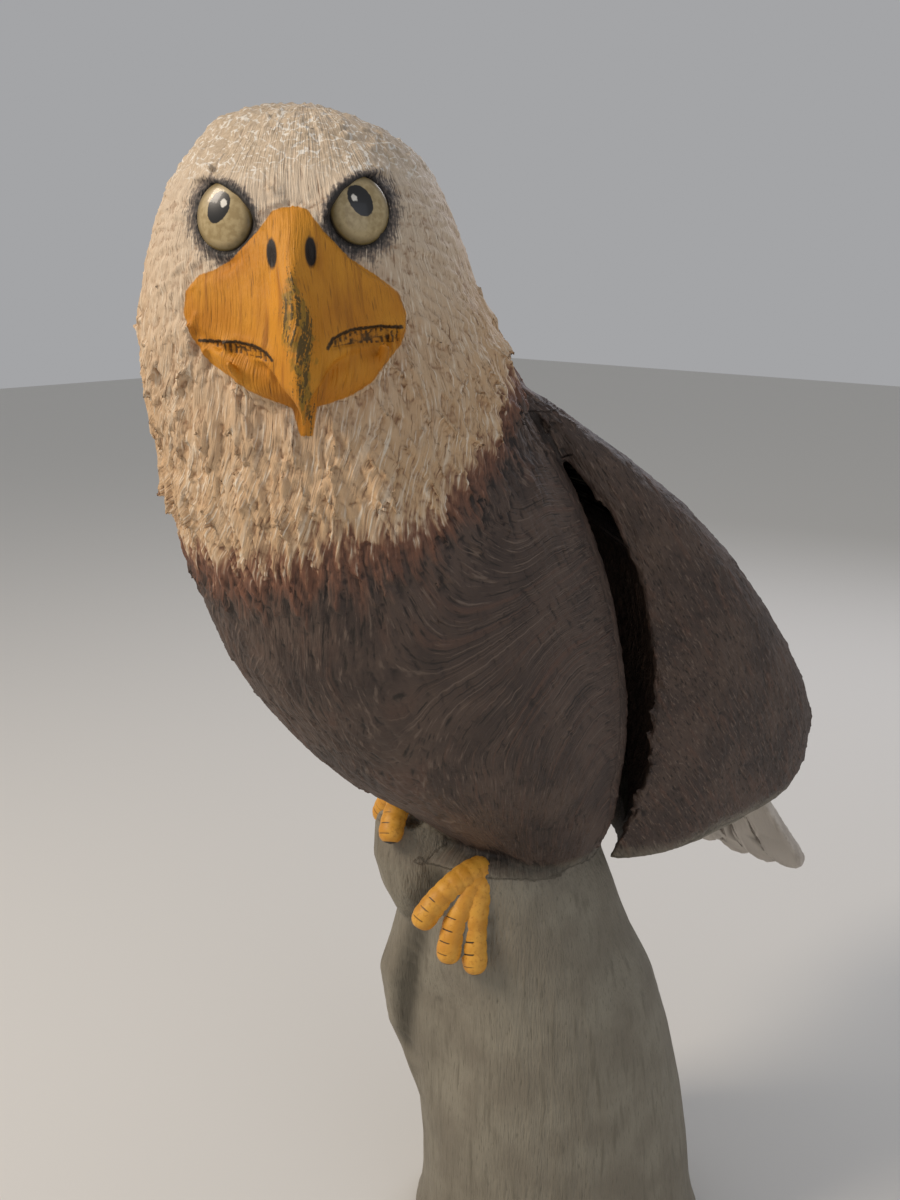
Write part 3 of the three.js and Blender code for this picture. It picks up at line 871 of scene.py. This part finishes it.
places = {
    "beak": beak_depth(face),
    "mouth": mouth,
    # the mouth line, the gap between the lips and the nostrils below are darkened as painted shade
    "lips": between,
    "teeth": teeth,
    "nostril": np.where(face[:, 1] < -90, nostril, 9.0),
    "keel": np.where((face[:, 1] < -90) & (face[:, 2] < 5), keel_edge, 90.0),
    "socket": np.where(face[:, 1] < -30, socket, 200.0),
    "white": level - 366 - 36 * smooth(0.85, 1.6, np.abs(angle)) - 6 * noise(at, 22, 5),
    "stump": stump_depth,
    "tail": tail_side,
    "hair": hair,
    # the neck's V-cuts, where the cream is darkened as painted shade
    "cuts": strands * neck,
    "crown": smooth(530, 590, level) + 0.25 * noise(at, 16, 41),
    "comb": comb_of(at, level, angle, wing, tail_side, stump_depth / 8) * MM,
    # distance to the stump's groove, which is darkened along it as painted shade
    "groove": distance_to_path(at, GROOVE),
}
print("Kept", len(places), "places")

# %% [markdown]
# ## Hollows
# The hollows are painted darker, as painted shade where the cuts and dips fall into shadow, and the ridges
# get none. How far a point lies below its neighbours says how much painted shade it gets: the points are
# smoothed, and each is compared with its smoothed self.

# %% Find the hollows
HOLLOW_PASSES = 12

edge_ends = np.empty(len(whole_mesh.edges) * 2, np.int32)
whole_mesh.edges.foreach_get("vertices", edge_ends)
first, second = edge_ends.reshape(-1, 2).T
count = np.bincount(np.concatenate([first, second]), minlength=len(at))
eased = at.copy()
for _ in range(HOLLOW_PASSES):
    for k in range(3):
        total = np.bincount(first, eased[second, k], len(at)) + np.bincount(second, eased[first, k], len(at))
        eased[:, k] = total / count
# how far each point lies below its smoothed self, where the paint is darkened as painted shade
hollow = np.sum((eased - at) * out, 1)
places["hollow"] = hollow
print("Hollows reach", round(float(np.percentile(hollow, 99)), 2), "mm")

# %% [markdown]
# ## Parts of the carving
# The export keeps a piece whole only under 200,000 triangles, so the skin is parted in five: head and neck,
# breast, flanks and shoulders, wings and tail, and stump. The parts meet point for point and share the
# normals of the whole, and each is closed with a cap inside the wood, so the joins can't be seen.


# %% Part the skin
def capped(triangles, points):
    """Closes each open edge of a set of triangles with a fan to the middle of its loop."""
    ends = np.concatenate([triangles[:, [0, 1]], triangles[:, [1, 2]], triangles[:, [2, 0]]])
    known = set(map(tuple, ends.tolist()))
    following = {a: b for a, b in known if (b, a) not in known}
    fans, middles = [], []
    while following:
        start, b = following.popitem()
        loop = [start]
        while b != start and b in following:
            loop.append(b)
            b = following.pop(b)
        hub = len(points) + len(middles)
        middles.append(points[loop].mean(0))
        fans += [[b, a, hub] for a, b in zip(loop, loop[1:] + loop[:1])]
    return np.array(fans, int).reshape(-1, 3), np.array(middles).reshape(-1, 3)


def part(name, chosen):
    """One part of the skin as an object of its own, with every number that was kept on its points."""
    fans, middles = capped(triangles[chosen], at)
    faces = np.vstack([triangles[chosen], fans])
    used, renamed = np.unique(faces, return_inverse=True)
    faces = renamed.reshape(-1, 3)
    cap_source = np.where(used < len(at), used, 0)
    spots = np.vstack([at, middles])[used]
    mesh = bpy.data.meshes.new(name)
    mesh.from_pydata((spots * MM).tolist(), [], faces.tolist())
    for place, numbers in places.items():
        keep_on_points(mesh, place, numbers[cap_source])
    mesh.polygons.foreach_set("use_smooth", np.ones(len(faces), bool))
    mesh.normals_split_custom_set_from_vertices(out[cap_source].tolist())
    made = shown(name, mesh)
    print(name, "has", len(faces), "triangles")
    return made


corners = np.empty(len(whole_mesh.loops), np.int32)
whole_mesh.loops.foreach_get("vertex_index", corners)
triangles = corners.reshape(-1, 3).astype(int)
mid_level = level[triangles].mean(1)
mid = at[triangles].mean(1)
NECK_CUT = 318  # the level where the head and neck part from the breast
STUMP_CUT = 330  # a height, and the next two are places from front to back
WING_CUT = 60
BREAST_CUT = -46
is_stump = (mid[:, 2] < STUMP_CUT) & (mid[:, 1] < TAIL_FROM)
is_head = (mid_level > NECK_CUT) & ~is_stump & (mid[:, 1] < -60)
is_back = (mid[:, 1] > WING_CUT) & ~is_stump
is_breast = (mid[:, 1] < BREAST_CUT) & ~is_stump & ~is_head
is_flank = ~(is_stump | is_head | is_back | is_breast)
chosen_parts = {
    "head_and_neck": is_head,
    "breast": is_breast,
    "flanks_and_shoulders": is_flank,
    "wings_and_tail": is_back,
    "stump": is_stump,
}
block_pieces = [part(name, chosen) for name, chosen in chosen_parts.items()]
bpy.data.meshes.remove(whole_mesh)

# %% [markdown]
# ## Paints
# The finish is artist's acrylic on wood, brushed on by hand: a satin film with an IOR of about 1.5, no
# metal, and one roughness. A little brush grain in the bump breaks its shine up. Colours are written as
# sRGB hex, as a paint shop would give them, and one function turns them to the linear numbers that the
# renderer uses.


# %% Colours and coats
def linear(hexed):
    """An sRGB hex colour as linear red, green, blue and alpha."""
    parts = [int(hexed[i : i + 2], 16) / 255 for i in (1, 3, 5)]
    return tuple(p / 12.92 if p <= 0.04045 else ((p + 0.055) / 1.055) ** 2.4 for p in parts) + (1.0,)


ACRYLIC_IOR = 1.48
VARNISH_ROUGHNESS = 0.08


def new_paint(name, roughness, varnish=0.0):
    """A material with an empty brush: its tree, its shader and its object coordinates."""
    paint = bpy.data.materials.new(name)
    paint.use_nodes = True
    tree = paint.node_tree
    shader = tree.nodes["Principled BSDF"]
    shader.inputs["Roughness"].default_value = roughness
    shader.inputs["IOR"].default_value = ACRYLIC_IOR
    shader.inputs["Coat Weight"].default_value = varnish
    shader.inputs["Coat Roughness"].default_value = VARNISH_ROUGHNESS
    where = node(tree, "ShaderNodeTexCoord").outputs["Object"]
    return paint, tree, shader, where


def coat(tree, under, over, low, high, amount, *more):
    """One colour brushed over another where an amount passes from low to high.

    More amounts, each with its factor, can be added to the first.
    """
    for factor, extra in more:
        added = node(tree, "ShaderNodeMath", {0: extra, 1: factor, 2: amount}, operation="MULTIPLY_ADD")
        amount = added.outputs[0]
    mask = node(
        tree,
        "ShaderNodeMapRange",
        {"Value": amount, "From Min": low, "From Max": high},
        interpolation_type="SMOOTHSTEP",
    )
    mixed = node(tree, "ShaderNodeMix", {0: mask.outputs["Result"], 6: under, 7: over}, data_type="RGBA")
    return mixed.outputs[2]


def read_numbers(tree, where, names, sizes):
    """The numbers kept on the points, by name, and clouds of noise, by their lumps' size in millimetres."""
    numbers = {}
    for name in names:
        numbers[name] = node(tree, "ShaderNodeAttribute", attribute_name=name).outputs["Fac"]
    for size in sizes:
        lumps = {"Vector": where, "Scale": 1 / (size * MM), "Detail": 3.0}
        numbers[size] = node(tree, "ShaderNodeTexNoise", lumps).outputs["Fac"]
    return numbers


print("The brushes are ready")

# %% [markdown]
# ## Acrylic on the carved wood
# The painter worked from the broad to the fine. Brown went over the body and cream over the head, with a
# rusty edge where they meet. The cuts and hollows are painted darker, as painted shade, and a dry brush
# touched the ridges. The beak, the eye sockets, the tail and the stump came last. The material is built in
# that order, one coat over another.

# %% Coats of the carved block
acrylic, tree, shader, where = new_paint("Hand-brushed acrylic on carved wood", 0.62)
names = "hair hollow cuts crown white tail stump groove socket beak keel mouth lips teeth nostril".split()
on = read_numbers(tree, where, names, (1.8, 2.5, 7, 45))
combed_where = node(tree, "ShaderNodeAttribute", attribute_name="comb").outputs["Vector"]
comb = read_numbers(tree, combed_where, (), (1.5, 6))
fine, broad, strokes, tufts = on[2.5], on[45], comb[1.5], comb[6]

# brown feathers: a mid brown, with painted shade in the hollows, and fine strokes of a lighter dry brush
brown = coat(tree, linear("#43352e"), linear("#57463c"), 0.35, 0.65, broad)
brown = coat(tree, brown, linear("#5c4438"), 0.5, 0.75, tufts)
brown = coat(tree, brown, linear("#2b211c"), 0.1, 0.9, on["hollow"])
brown = coat(tree, brown, linear("#6f5e52"), 0.56, 0.72, strokes)
brown = coat(tree, brown, linear("#292019"), 0.44, 0.3, strokes)

# cream feathers: warmer towards the breast, brown painted shade in the hollows and the neck's cuts, paler
# ridges
cream = coat(tree, linear("#cdab84"), linear("#d3bfa6"), 20, 190, on["white"])
cream = coat(tree, cream, linear("#e0cbb0"), 0.5, 0.8, tufts)
cream = coat(tree, cream, linear("#a8825f"), 0.9, 2.8, on["hollow"], (0.5, fine))
cream = coat(tree, cream, linear("#8f6a4b"), 1.05, 1.8, on["cuts"], (0.9, fine))
cream = coat(tree, cream, linear("#ecdcc5"), 0.54, 0.72, strokes)
cream = coat(tree, cream, linear("#84644a"), 0.42, 0.26, strokes)

# crown: small scales with pale rims, which wore to near white
scales = node(
    tree,
    "ShaderNodeTexVoronoi",
    {"Vector": where, "Scale": 1 / (6.5 * MM), "Randomness": 1.0},
    feature="DISTANCE_TO_EDGE",
).outputs["Distance"]
scaly = coat(tree, cream, linear("#bda88c"), 0.3, 0.8, fine)
scaly = coat(tree, scaly, linear("#efe8dc"), 0.5, 0.38, scales, (0.4, fine), (0.45, on[7]))
cream = coat(tree, cream, scaly, 0.2, 0.6, on["crown"])

# the two meet in ragged lock tips with a rusty tint
# in the hollows the brown reaches further into the cream, as painted shade
to_edge = (-5.0, on["hollow"]), (40.0, tufts), (26.0, strokes)
rusty = coat(tree, brown, linear("#7b513c"), 0, 30, on["white"], *to_edge)
colour = coat(tree, rusty, cream, 22, 44, on["white"], *to_edge)

# tail: pale strokes, with painted shade in the hollows
pale = coat(tree, linear("#b9afa4"), linear("#d8cfc4"), -0.8, 1.0, on["hair"])
pale = coat(tree, pale, linear("#6f6459"), 0.15, 0.9, on["hollow"])
colour = coat(tree, colour, pale, 0.4, 0.6, on["tail"])

# stump: grey-green, clouded, with soft upright tool marks, and painted shade in the hollows and down the
# groove
wood = coat(tree, linear("#7b7364"), linear("#8c8575"), 0.3, 0.7, broad)
wood = coat(tree, wood, linear("#736c5d"), 0.5, 0.75, tufts)
wood = coat(tree, wood, linear("#6b6556"), 0.42, 0.25, strokes)
wood = coat(tree, wood, linear("#4f493d"), 0.5, 2.2, on["hollow"])
# painted shade down the groove
wood = coat(tree, wood, linear("#4a4539"), 26, 6, on["groove"], (9.0, tufts))
colour = coat(tree, colour, wood, -2, 22, on["stump"], (8.0, fine), (14.0, strokes))

# eye sockets: a broken grey dry brush, then black strokes close round the eye
colour = coat(tree, colour, linear("#6c6159"), 31, 22, on["socket"], (18.0, fine), (18.0, strokes))
colour = coat(tree, colour, linear("#2f2b29"), 20, 14, on["socket"], (14.0, fine), (14.0, strokes))

# beak: orange-yellow with olive strokes down its keel, painted shade along the mouth line and in the
# notched gap between the lips, and dark painted shade in the nostril slits
yellow = coat(tree, linear("#c07a10"), linear("#d18d1f"), 0.35, 0.65, broad)
yellow = coat(tree, yellow, linear("#a5670e"), 0.5, 0.75, tufts)
yellow = coat(tree, yellow, linear("#8d5a10"), 0.42, 0.25, strokes)
yellow = coat(tree, yellow, linear("#94701b"), -11, -16, on["keel"], (-22.0, on[7]))
yellow = coat(tree, yellow, linear("#5c4614"), -18.4, -20.5, on["keel"], (-12.0, on[1.8]), (-20.0, strokes))
yellow = coat(tree, yellow, linear("#3b2a0e"), 2.6, 1.6, on["mouth"], (2.0, fine))
yellow = coat(tree, yellow, linear("#54390f"), 1.35, 1.7, on["lips"], (0.5, fine), (0.5, on["teeth"]))
yellow = coat(tree, yellow, linear("#1d130b"), 1.15, 0.8, on["nostril"])
colour = coat(tree, colour, yellow, 0.3, 1.3, on["beak"], (1.6, fine))

tree.links.new(colour, shader.inputs["Base Color"])
relief = node(tree, "ShaderNodeMath", {0: fine, 1: 0.25, 2: strokes}, operation="MULTIPLY_ADD")
relief = node(tree, "ShaderNodeMath", {0: tufts, 1: 1.5, 2: relief.outputs[0]}, operation="MULTIPLY_ADD")
grain = node(tree, "ShaderNodeBump", {"Height": relief.outputs[0], "Strength": 0.8, "Distance": 1.2 * MM})
tree.links.new(grain.outputs[0], shader.inputs["Normal"])
for piece in block_pieces:
    piece.data.materials.append(acrylic)
print("The block's paint has", len(tree.nodes), "nodes")

# %% [markdown]
# ## Eyes
# Each eye is a shallow dome that the carver left standing in its socket, painted olive and varnished. It is
# built as its own small dome, finer than the skin, just over the carved one, so that its paint is sharp.
# The distances to the pupil and to the painted glint are kept on its points.

# %% Two varnished domes
EYE_ROUND = 56
EYE_ROWS = 26
EYE_DOME_DEPTH = 7.5
EYE_STAND = 2.6  # how far the dome stands in front of the bare face
EYE_YAW = math.radians(24)
EYE_PITCH = math.radians(-8)
PUPIL = {"x": -1.0, "z": 5.0, "wide": 7.4, "tall": 10.2, "slant": -0.5}


def eye_dome(name, side):
    """One eye as a closed, flattened ball in its socket. Side is 1 for the bird's left, -1 for its right."""
    around = np.linspace(0, 2 * math.pi, EYE_ROUND, endpoint=False)
    down = np.linspace(0, math.pi, EYE_ROWS)[1:-1]
    ball = [[0, -1, 0]]
    for d in down:
        ball += [[math.sin(d) * math.cos(a), -math.cos(d), math.sin(d) * math.sin(a)] for a in around]
    ball = np.array(ball + [[0, 1, 0]], float)
    ball *= [EYE_WIDE / math.cos(EYE_YAW), EYE_DOME_DEPTH, EYE_TALL]
    last = len(ball) - 1
    faces = []
    for j in range(EYE_ROUND):
        k = (j + 1) % EYE_ROUND
        faces.append([0, 1 + j, 1 + k])
        faces.append([last, last - EYE_ROUND + k, last - EYE_ROUND + j])
        for i in range(len(down) - 1):
            a = 1 + i * EYE_ROUND
            faces.append([a + j, a + EYE_ROUND + j, a + EYE_ROUND + k, a + k])
    mesh = bpy.data.meshes.new(name)
    c, s = math.cos(EYE_PITCH), math.sin(EYE_PITCH)
    set_in = turned(side * EYE_YAW, "z") @ np.array([[1, 0, 0], [0, c, -s], [0, s, c]])
    deep = face_front(side * EYE_SPREAD, 0) + EYE_STAND - EYE_DOME_DEPTH
    spots = from_head(ball @ set_in.T + [side * EYE_SPREAD, -float(deep), EYE_RAISED])
    mesh.from_pydata((spots * MM).tolist(), [], faces)
    x, z = ball[:, 0], ball[:, 2]
    slant = side * PUPIL["slant"]
    px, pz = x - PUPIL["x"], z - PUPIL["z"]
    along = px * math.sin(slant) + pz * math.cos(slant)
    aside = px * math.cos(slant) - pz * math.sin(slant)
    far = np.hypot(aside / PUPIL["wide"], along / PUPIL["tall"])
    keep_on_points(mesh, "pupil", far)
    keep_on_points(mesh, "glint", np.hypot(px + side * 3.8, (pz - 1.8) * 0.8))
    keep_on_points(mesh, "rim", np.hypot(x * math.cos(EYE_YAW) * EYE_TALL / EYE_WIDE, z))
    mesh.polygons.foreach_set("use_smooth", np.ones(len(faces), bool))
    made = shown(name, mesh)
    fixed = bmesh.new()
    fixed.from_mesh(mesh)
    bmesh.ops.recalc_face_normals(fixed, faces=fixed.faces)
    fixed.to_mesh(mesh)
    fixed.free()
    return made


varnish, tree, shader, where = new_paint("Varnished acrylic eye", 0.35, 0.3)
on = read_numbers(tree, where, ("rim", "pupil", "glint"), (3.5,))
mottle = on[3.5]
olive = coat(tree, linear("#a28d62"), linear("#b9a57a"), 0.35, 0.65, mottle)
olive = coat(tree, olive, linear("#7d6a3f"), 18.5, 22.5, on["rim"], (5.0, mottle))
olive = coat(tree, olive, linear("#3f3629"), 20.2, 21.4, on["rim"])
olive = coat(tree, olive, linear("#121110"), 1.14, 1.06, on["pupil"], (0.2, mottle))
olive = coat(tree, olive, linear("#e6e1d6"), 4.0, 3.2, on["glint"], (3.0, mottle))
tree.links.new(olive, shader.inputs["Base Color"])
eyes = [eye_dome("left_eye", 1), eye_dome("right_eye", -1)]
for eye in eyes:
    eye.data.materials.append(varnish)
    print(eye.name, "has", len(eye.data.polygons), "faces")

# %% [markdown]
# ## Toes
# A toe follows a path over the edge of the wood, with plates across it and a claw painted at its end.
# Geometry Nodes draw the path as a curve, swell and pinch its radius at each plate, and sweep a round
# profile along it. One tree serves all six toes. The place along the toe is kept for the painter, who drew
# a dark stroke between the plates.

# %% The tree that draws a toe
toe_tree = new_tree(
    "toe_along_a_path",
    {
        "From": "Vector",
        "Knuckle": "Vector",
        "Tip": "Vector",
        "Root Radius": "Float",
        "Toe Radius": "Float",
        "Plates": "Float",
        "Plate Rise": "Float",
        "Paint": "Material",
    },
)
given = node(toe_tree, "NodeGroupInput").outputs
path = node(
    toe_tree,
    "GeometryNodeCurveQuadraticBezier",
    {"Resolution": 72, "Start": given["From"], "Middle": given["Knuckle"], "End": given["Tip"]},
)
share = node(toe_tree, "GeometryNodeSplineParameter").outputs["Factor"]
marked = node(
    toe_tree,
    "GeometryNodeStoreNamedAttribute",
    {"Geometry": path.outputs[0], "Name": "along", "Value": share},
    data_type="FLOAT",
    domain="POINT",
)
taper = node(
    toe_tree,
    "ShaderNodeMapRange",
    {"Value": share, 1: 0.0, 2: 0.6, 3: given["Root Radius"], 4: given["Toe Radius"]},
    interpolation_type="SMOOTHSTEP",
)
turns = node(toe_tree, "ShaderNodeMath", {0: given["Plates"], 1: math.pi}, operation="MULTIPLY")
phase = node(toe_tree, "ShaderNodeMath", {0: share, 1: turns.outputs[0]}, operation="MULTIPLY")
wave = node(toe_tree, "ShaderNodeMath", {0: phase.outputs[0]}, operation="SINE")
arch = node(toe_tree, "ShaderNodeMath", {0: wave.outputs[0]}, operation="ABSOLUTE")
plump = node(toe_tree, "ShaderNodeMath", {0: arch.outputs[0], 1: 0.5}, operation="POWER")
plated = node(
    toe_tree,
    "ShaderNodeMath",
    {0: plump.outputs[0], 1: given["Plate Rise"], 2: taper.outputs[0]},
    operation="MULTIPLY_ADD",
)
ending = node(toe_tree, "ShaderNodeMapRange", {"Value": share, 1: 0.86, 2: 1.0, 3: 0.0, 4: 1.0})
square = node(toe_tree, "ShaderNodeMath", {0: ending.outputs[0], 1: 2.0}, operation="POWER")
rest = node(toe_tree, "ShaderNodeMath", {0: 1.0, 1: square.outputs[0]}, operation="SUBTRACT")
rounded = node(toe_tree, "ShaderNodeMath", {0: rest.outputs[0], 1: 0.5}, operation="POWER")
tip_in = node(toe_tree, "ShaderNodeMath", {0: rounded.outputs[0], 1: 0.04}, operation="MAXIMUM")
radius = node(toe_tree, "ShaderNodeMath", {0: plated.outputs[0], 1: tip_in.outputs[0]}, operation="MULTIPLY")
profile = node(toe_tree, "GeometryNodeCurvePrimitiveCircle", {"Resolution": 28, "Radius": 1.0})
swept = node(
    toe_tree,
    "GeometryNodeCurveToMesh",
    {
        "Curve": marked.outputs[0],
        "Profile Curve": profile.outputs[0],
        "Scale": radius.outputs[0],
        "Fill Caps": True,
    },
)
soft = node(toe_tree, "GeometryNodeSetShadeSmooth", {"Geometry": swept.outputs[0]})
real = node(toe_tree, "GeometryNodeRealizeInstances", {"Geometry": soft.outputs[0]})
coated = {"Geometry": real.outputs[0], "Material": given["Paint"]}
painted = node(toe_tree, "GeometryNodeSetMaterial", coated)
node(toe_tree, "NodeGroupOutput", {0: painted.outputs[0]})
print("The toe tree has", len(toe_tree.nodes), "nodes")

# %% Six toes
FEET = {
    "left_foot": ([34, -114, 2], [[17, -175, -34], [39, -163, -63], [56, -146, -73]]),
    "right_foot": ([-52, -110, 54], [[-31, -162, 22], [-87, -120, 14], [-101, -96, 12]]),
}
yellow_paint, tree, shader, where = new_paint("Hand-brushed yellow acrylic", 0.55)
on = read_numbers(tree, where, ("notch", "claw"), (3, 14))
gold = coat(tree, linear("#cf8f2c"), linear("#e2a63f"), 0.35, 0.65, on[14])
gold = coat(tree, gold, linear("#c4862a"), 0.5, 0.75, on[3])
gold = coat(tree, gold, linear("#3a2c16"), 0.4, 0.7, on["notch"])
gold = coat(tree, gold, linear("#2b2620"), 0.3, 0.7, on["claw"])
tree.links.new(gold, shader.inputs["Base Color"])
PLATES = 9
ROOT_RADIUS = 14.5 * MM
TOE_RADIUS = 10.2 * MM
PLATE_RISE = 0.7 * MM

feet = []
for name, (start, tips) in FEET.items():
    joined = bmesh.new()
    for tip in tips:
        start_at, tip_at = np.array(start, float), np.array(tip, float)
        knuckle = (start_at + tip_at) / 2 + [0, -12, 18]
        seed_mesh = bpy.data.meshes.new("toe")
        toe = shown("toe", seed_mesh)
        draw = toe.modifiers.new("Toe", "NODES")
        draw.node_group = toe_tree
        set_inputs(
            draw,
            From=[float(x) for x in (start_at + BIRD) * MM],
            Knuckle=[float(x) for x in (knuckle + BIRD) * MM],
            Tip=[float(x) for x in (tip_at + BIRD) * MM],
            Root_Radius=ROOT_RADIUS,
            Toe_Radius=TOE_RADIUS,
            Plates=float(PLATES),
            Plate_Rise=PLATE_RISE,
            Paint=yellow_paint,
        )
        toe_mesh = baked(toe, "toe")
        joined.from_mesh(toe_mesh)
        thrown_away(toe)
        bpy.data.meshes.remove(toe_mesh)
    bmesh.ops.remove_doubles(joined, verts=joined.verts, dist=0.01 * MM)
    bmesh.ops.recalc_face_normals(joined, faces=joined.faces)
    mesh = bpy.data.meshes.new(name)
    joined.to_mesh(mesh)
    joined.free()
    along = np.empty(len(mesh.vertices), np.float32)
    mesh.attributes["along"].data.foreach_get("value", along)
    upward = normals_of(mesh) @ unit(np.array([0.1, -0.95, 0.25]))
    between = np.abs(np.sin(along * PLATES * math.pi))
    notch = (1 - between / 0.45) * smooth(0.72, 0.86, upward) * smooth(0.5, 0.58, along)
    keep_on_points(mesh, "notch", notch)
    keep_on_points(mesh, "claw", smooth(0.965, 0.985, along))
    mesh.materials.clear()
    mesh.materials.append(yellow_paint)
    mesh.polygons.foreach_set("use_smooth", np.ones(len(mesh.polygons), bool))
    feet.append(shown(name, mesh))
    print(name, "has", len(mesh.polygons), "faces")

# %% [markdown]
# ## Riding on the frame
# Everything is one carved block, so every piece rides on the one body and stands for the one CAD node.

# %% Tie the pieces to the CAD node
for piece in (*block_pieces, *eyes, *feet):
    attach(piece, "root")
    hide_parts("eagle_on_stump")

# %% [markdown]
# ## Studio
# The carving stands on a plain pale floor in soft light: a large window-like lamp from the upper left, a
# weak fill from the right, and a pale room around. The camera looks from the bird's front left, a little
# from above, as in the photograph.

# %% Floor, room and lamps
FLOOR_HALF = 8.0
ROOM_LIGHT = 0.46

floor_mesh = bpy.data.meshes.new("floor")
floor_corners = [(x * FLOOR_HALF, y * FLOOR_HALF, 0) for x, y in ((-1, -1), (1, -1), (1, 1), (-1, 1))]
floor_mesh.from_pydata(floor_corners, [], [(0, 1, 2, 3)])
floor = shown("floor", floor_mesh)
paper, _, shader, _ = new_paint("Matte studio paper", 0.9)
shader.inputs["Base Color"].default_value = linear("#d9d7d2")
floor_mesh.materials.append(paper)

room = bpy.data.worlds.new("room")
room.use_nodes = True
room.node_tree.nodes["Background"].inputs["Color"].default_value = linear("#e8e9ec")
room.node_tree.nodes["Background"].inputs["Strength"].default_value = ROOM_LIGHT
bpy.context.scene.world = room


def lamp(name, place, target, size, watts, hexed):
    """A square soft lamp at a place, turned to a target. Places and size are in metres."""
    light = bpy.data.lights.new(name, "AREA")
    light.size = size
    light.energy = watts
    light.color = linear(hexed)[:3]
    made = bpy.data.objects.new(name, light)
    bpy.context.scene.collection.objects.link(made)
    made.location = place
    made.rotation_euler = (Vector(target) - Vector(place)).to_track_quat("-Z", "Y").to_euler()
    return made


lamp("window", (-0.9, -2.0, 2.3), (0, -0.1, 0.6), 0.9, 48, "#fff1e0")
lamp("fill", (2.4, -0.6, 1.2), (0, 0, 0.5), 1.6, 5, "#e6eeff")
lamp("back", (-0.6, 2.2, 1.9), (0, 0.1, 0.6), 1.2, 16, "#f4f4ff")

# %% Camera at the photograph's angle
CAMERA_TARGET = Vector((-0.0742, -0.0742, 0.618))
CAMERA_AZIMUTH = math.radians(45)
CAMERA_ELEVATION = math.radians(15)
CAMERA_DISTANCE = 1.118
PHOTO_FOCUS = 1287  # focal length in pixels of a 900 x 1200 frame
PHOTO_HEIGHT = 1200

lens = bpy.data.cameras.new("camera")
lens.sensor_width = 36
lens.lens = PHOTO_FOCUS * lens.sensor_width / PHOTO_HEIGHT
lens.clip_start = 0.05
camera = bpy.data.objects.new("camera", lens)
bpy.context.scene.collection.objects.link(camera)
back = Vector(
    (
        math.sin(CAMERA_AZIMUTH) * math.cos(CAMERA_ELEVATION),
        -math.cos(CAMERA_AZIMUTH) * math.cos(CAMERA_ELEVATION),
        math.sin(CAMERA_ELEVATION),
    )
)
camera.location = CAMERA_TARGET + back * CAMERA_DISTANCE
camera.rotation_euler = (-back).to_track_quat("-Z", "Y").to_euler()
bpy.context.scene.camera = camera
bpy.context.scene.view_settings.view_transform = "Standard"
print("Lens", round(lens.lens, 1), "mm")
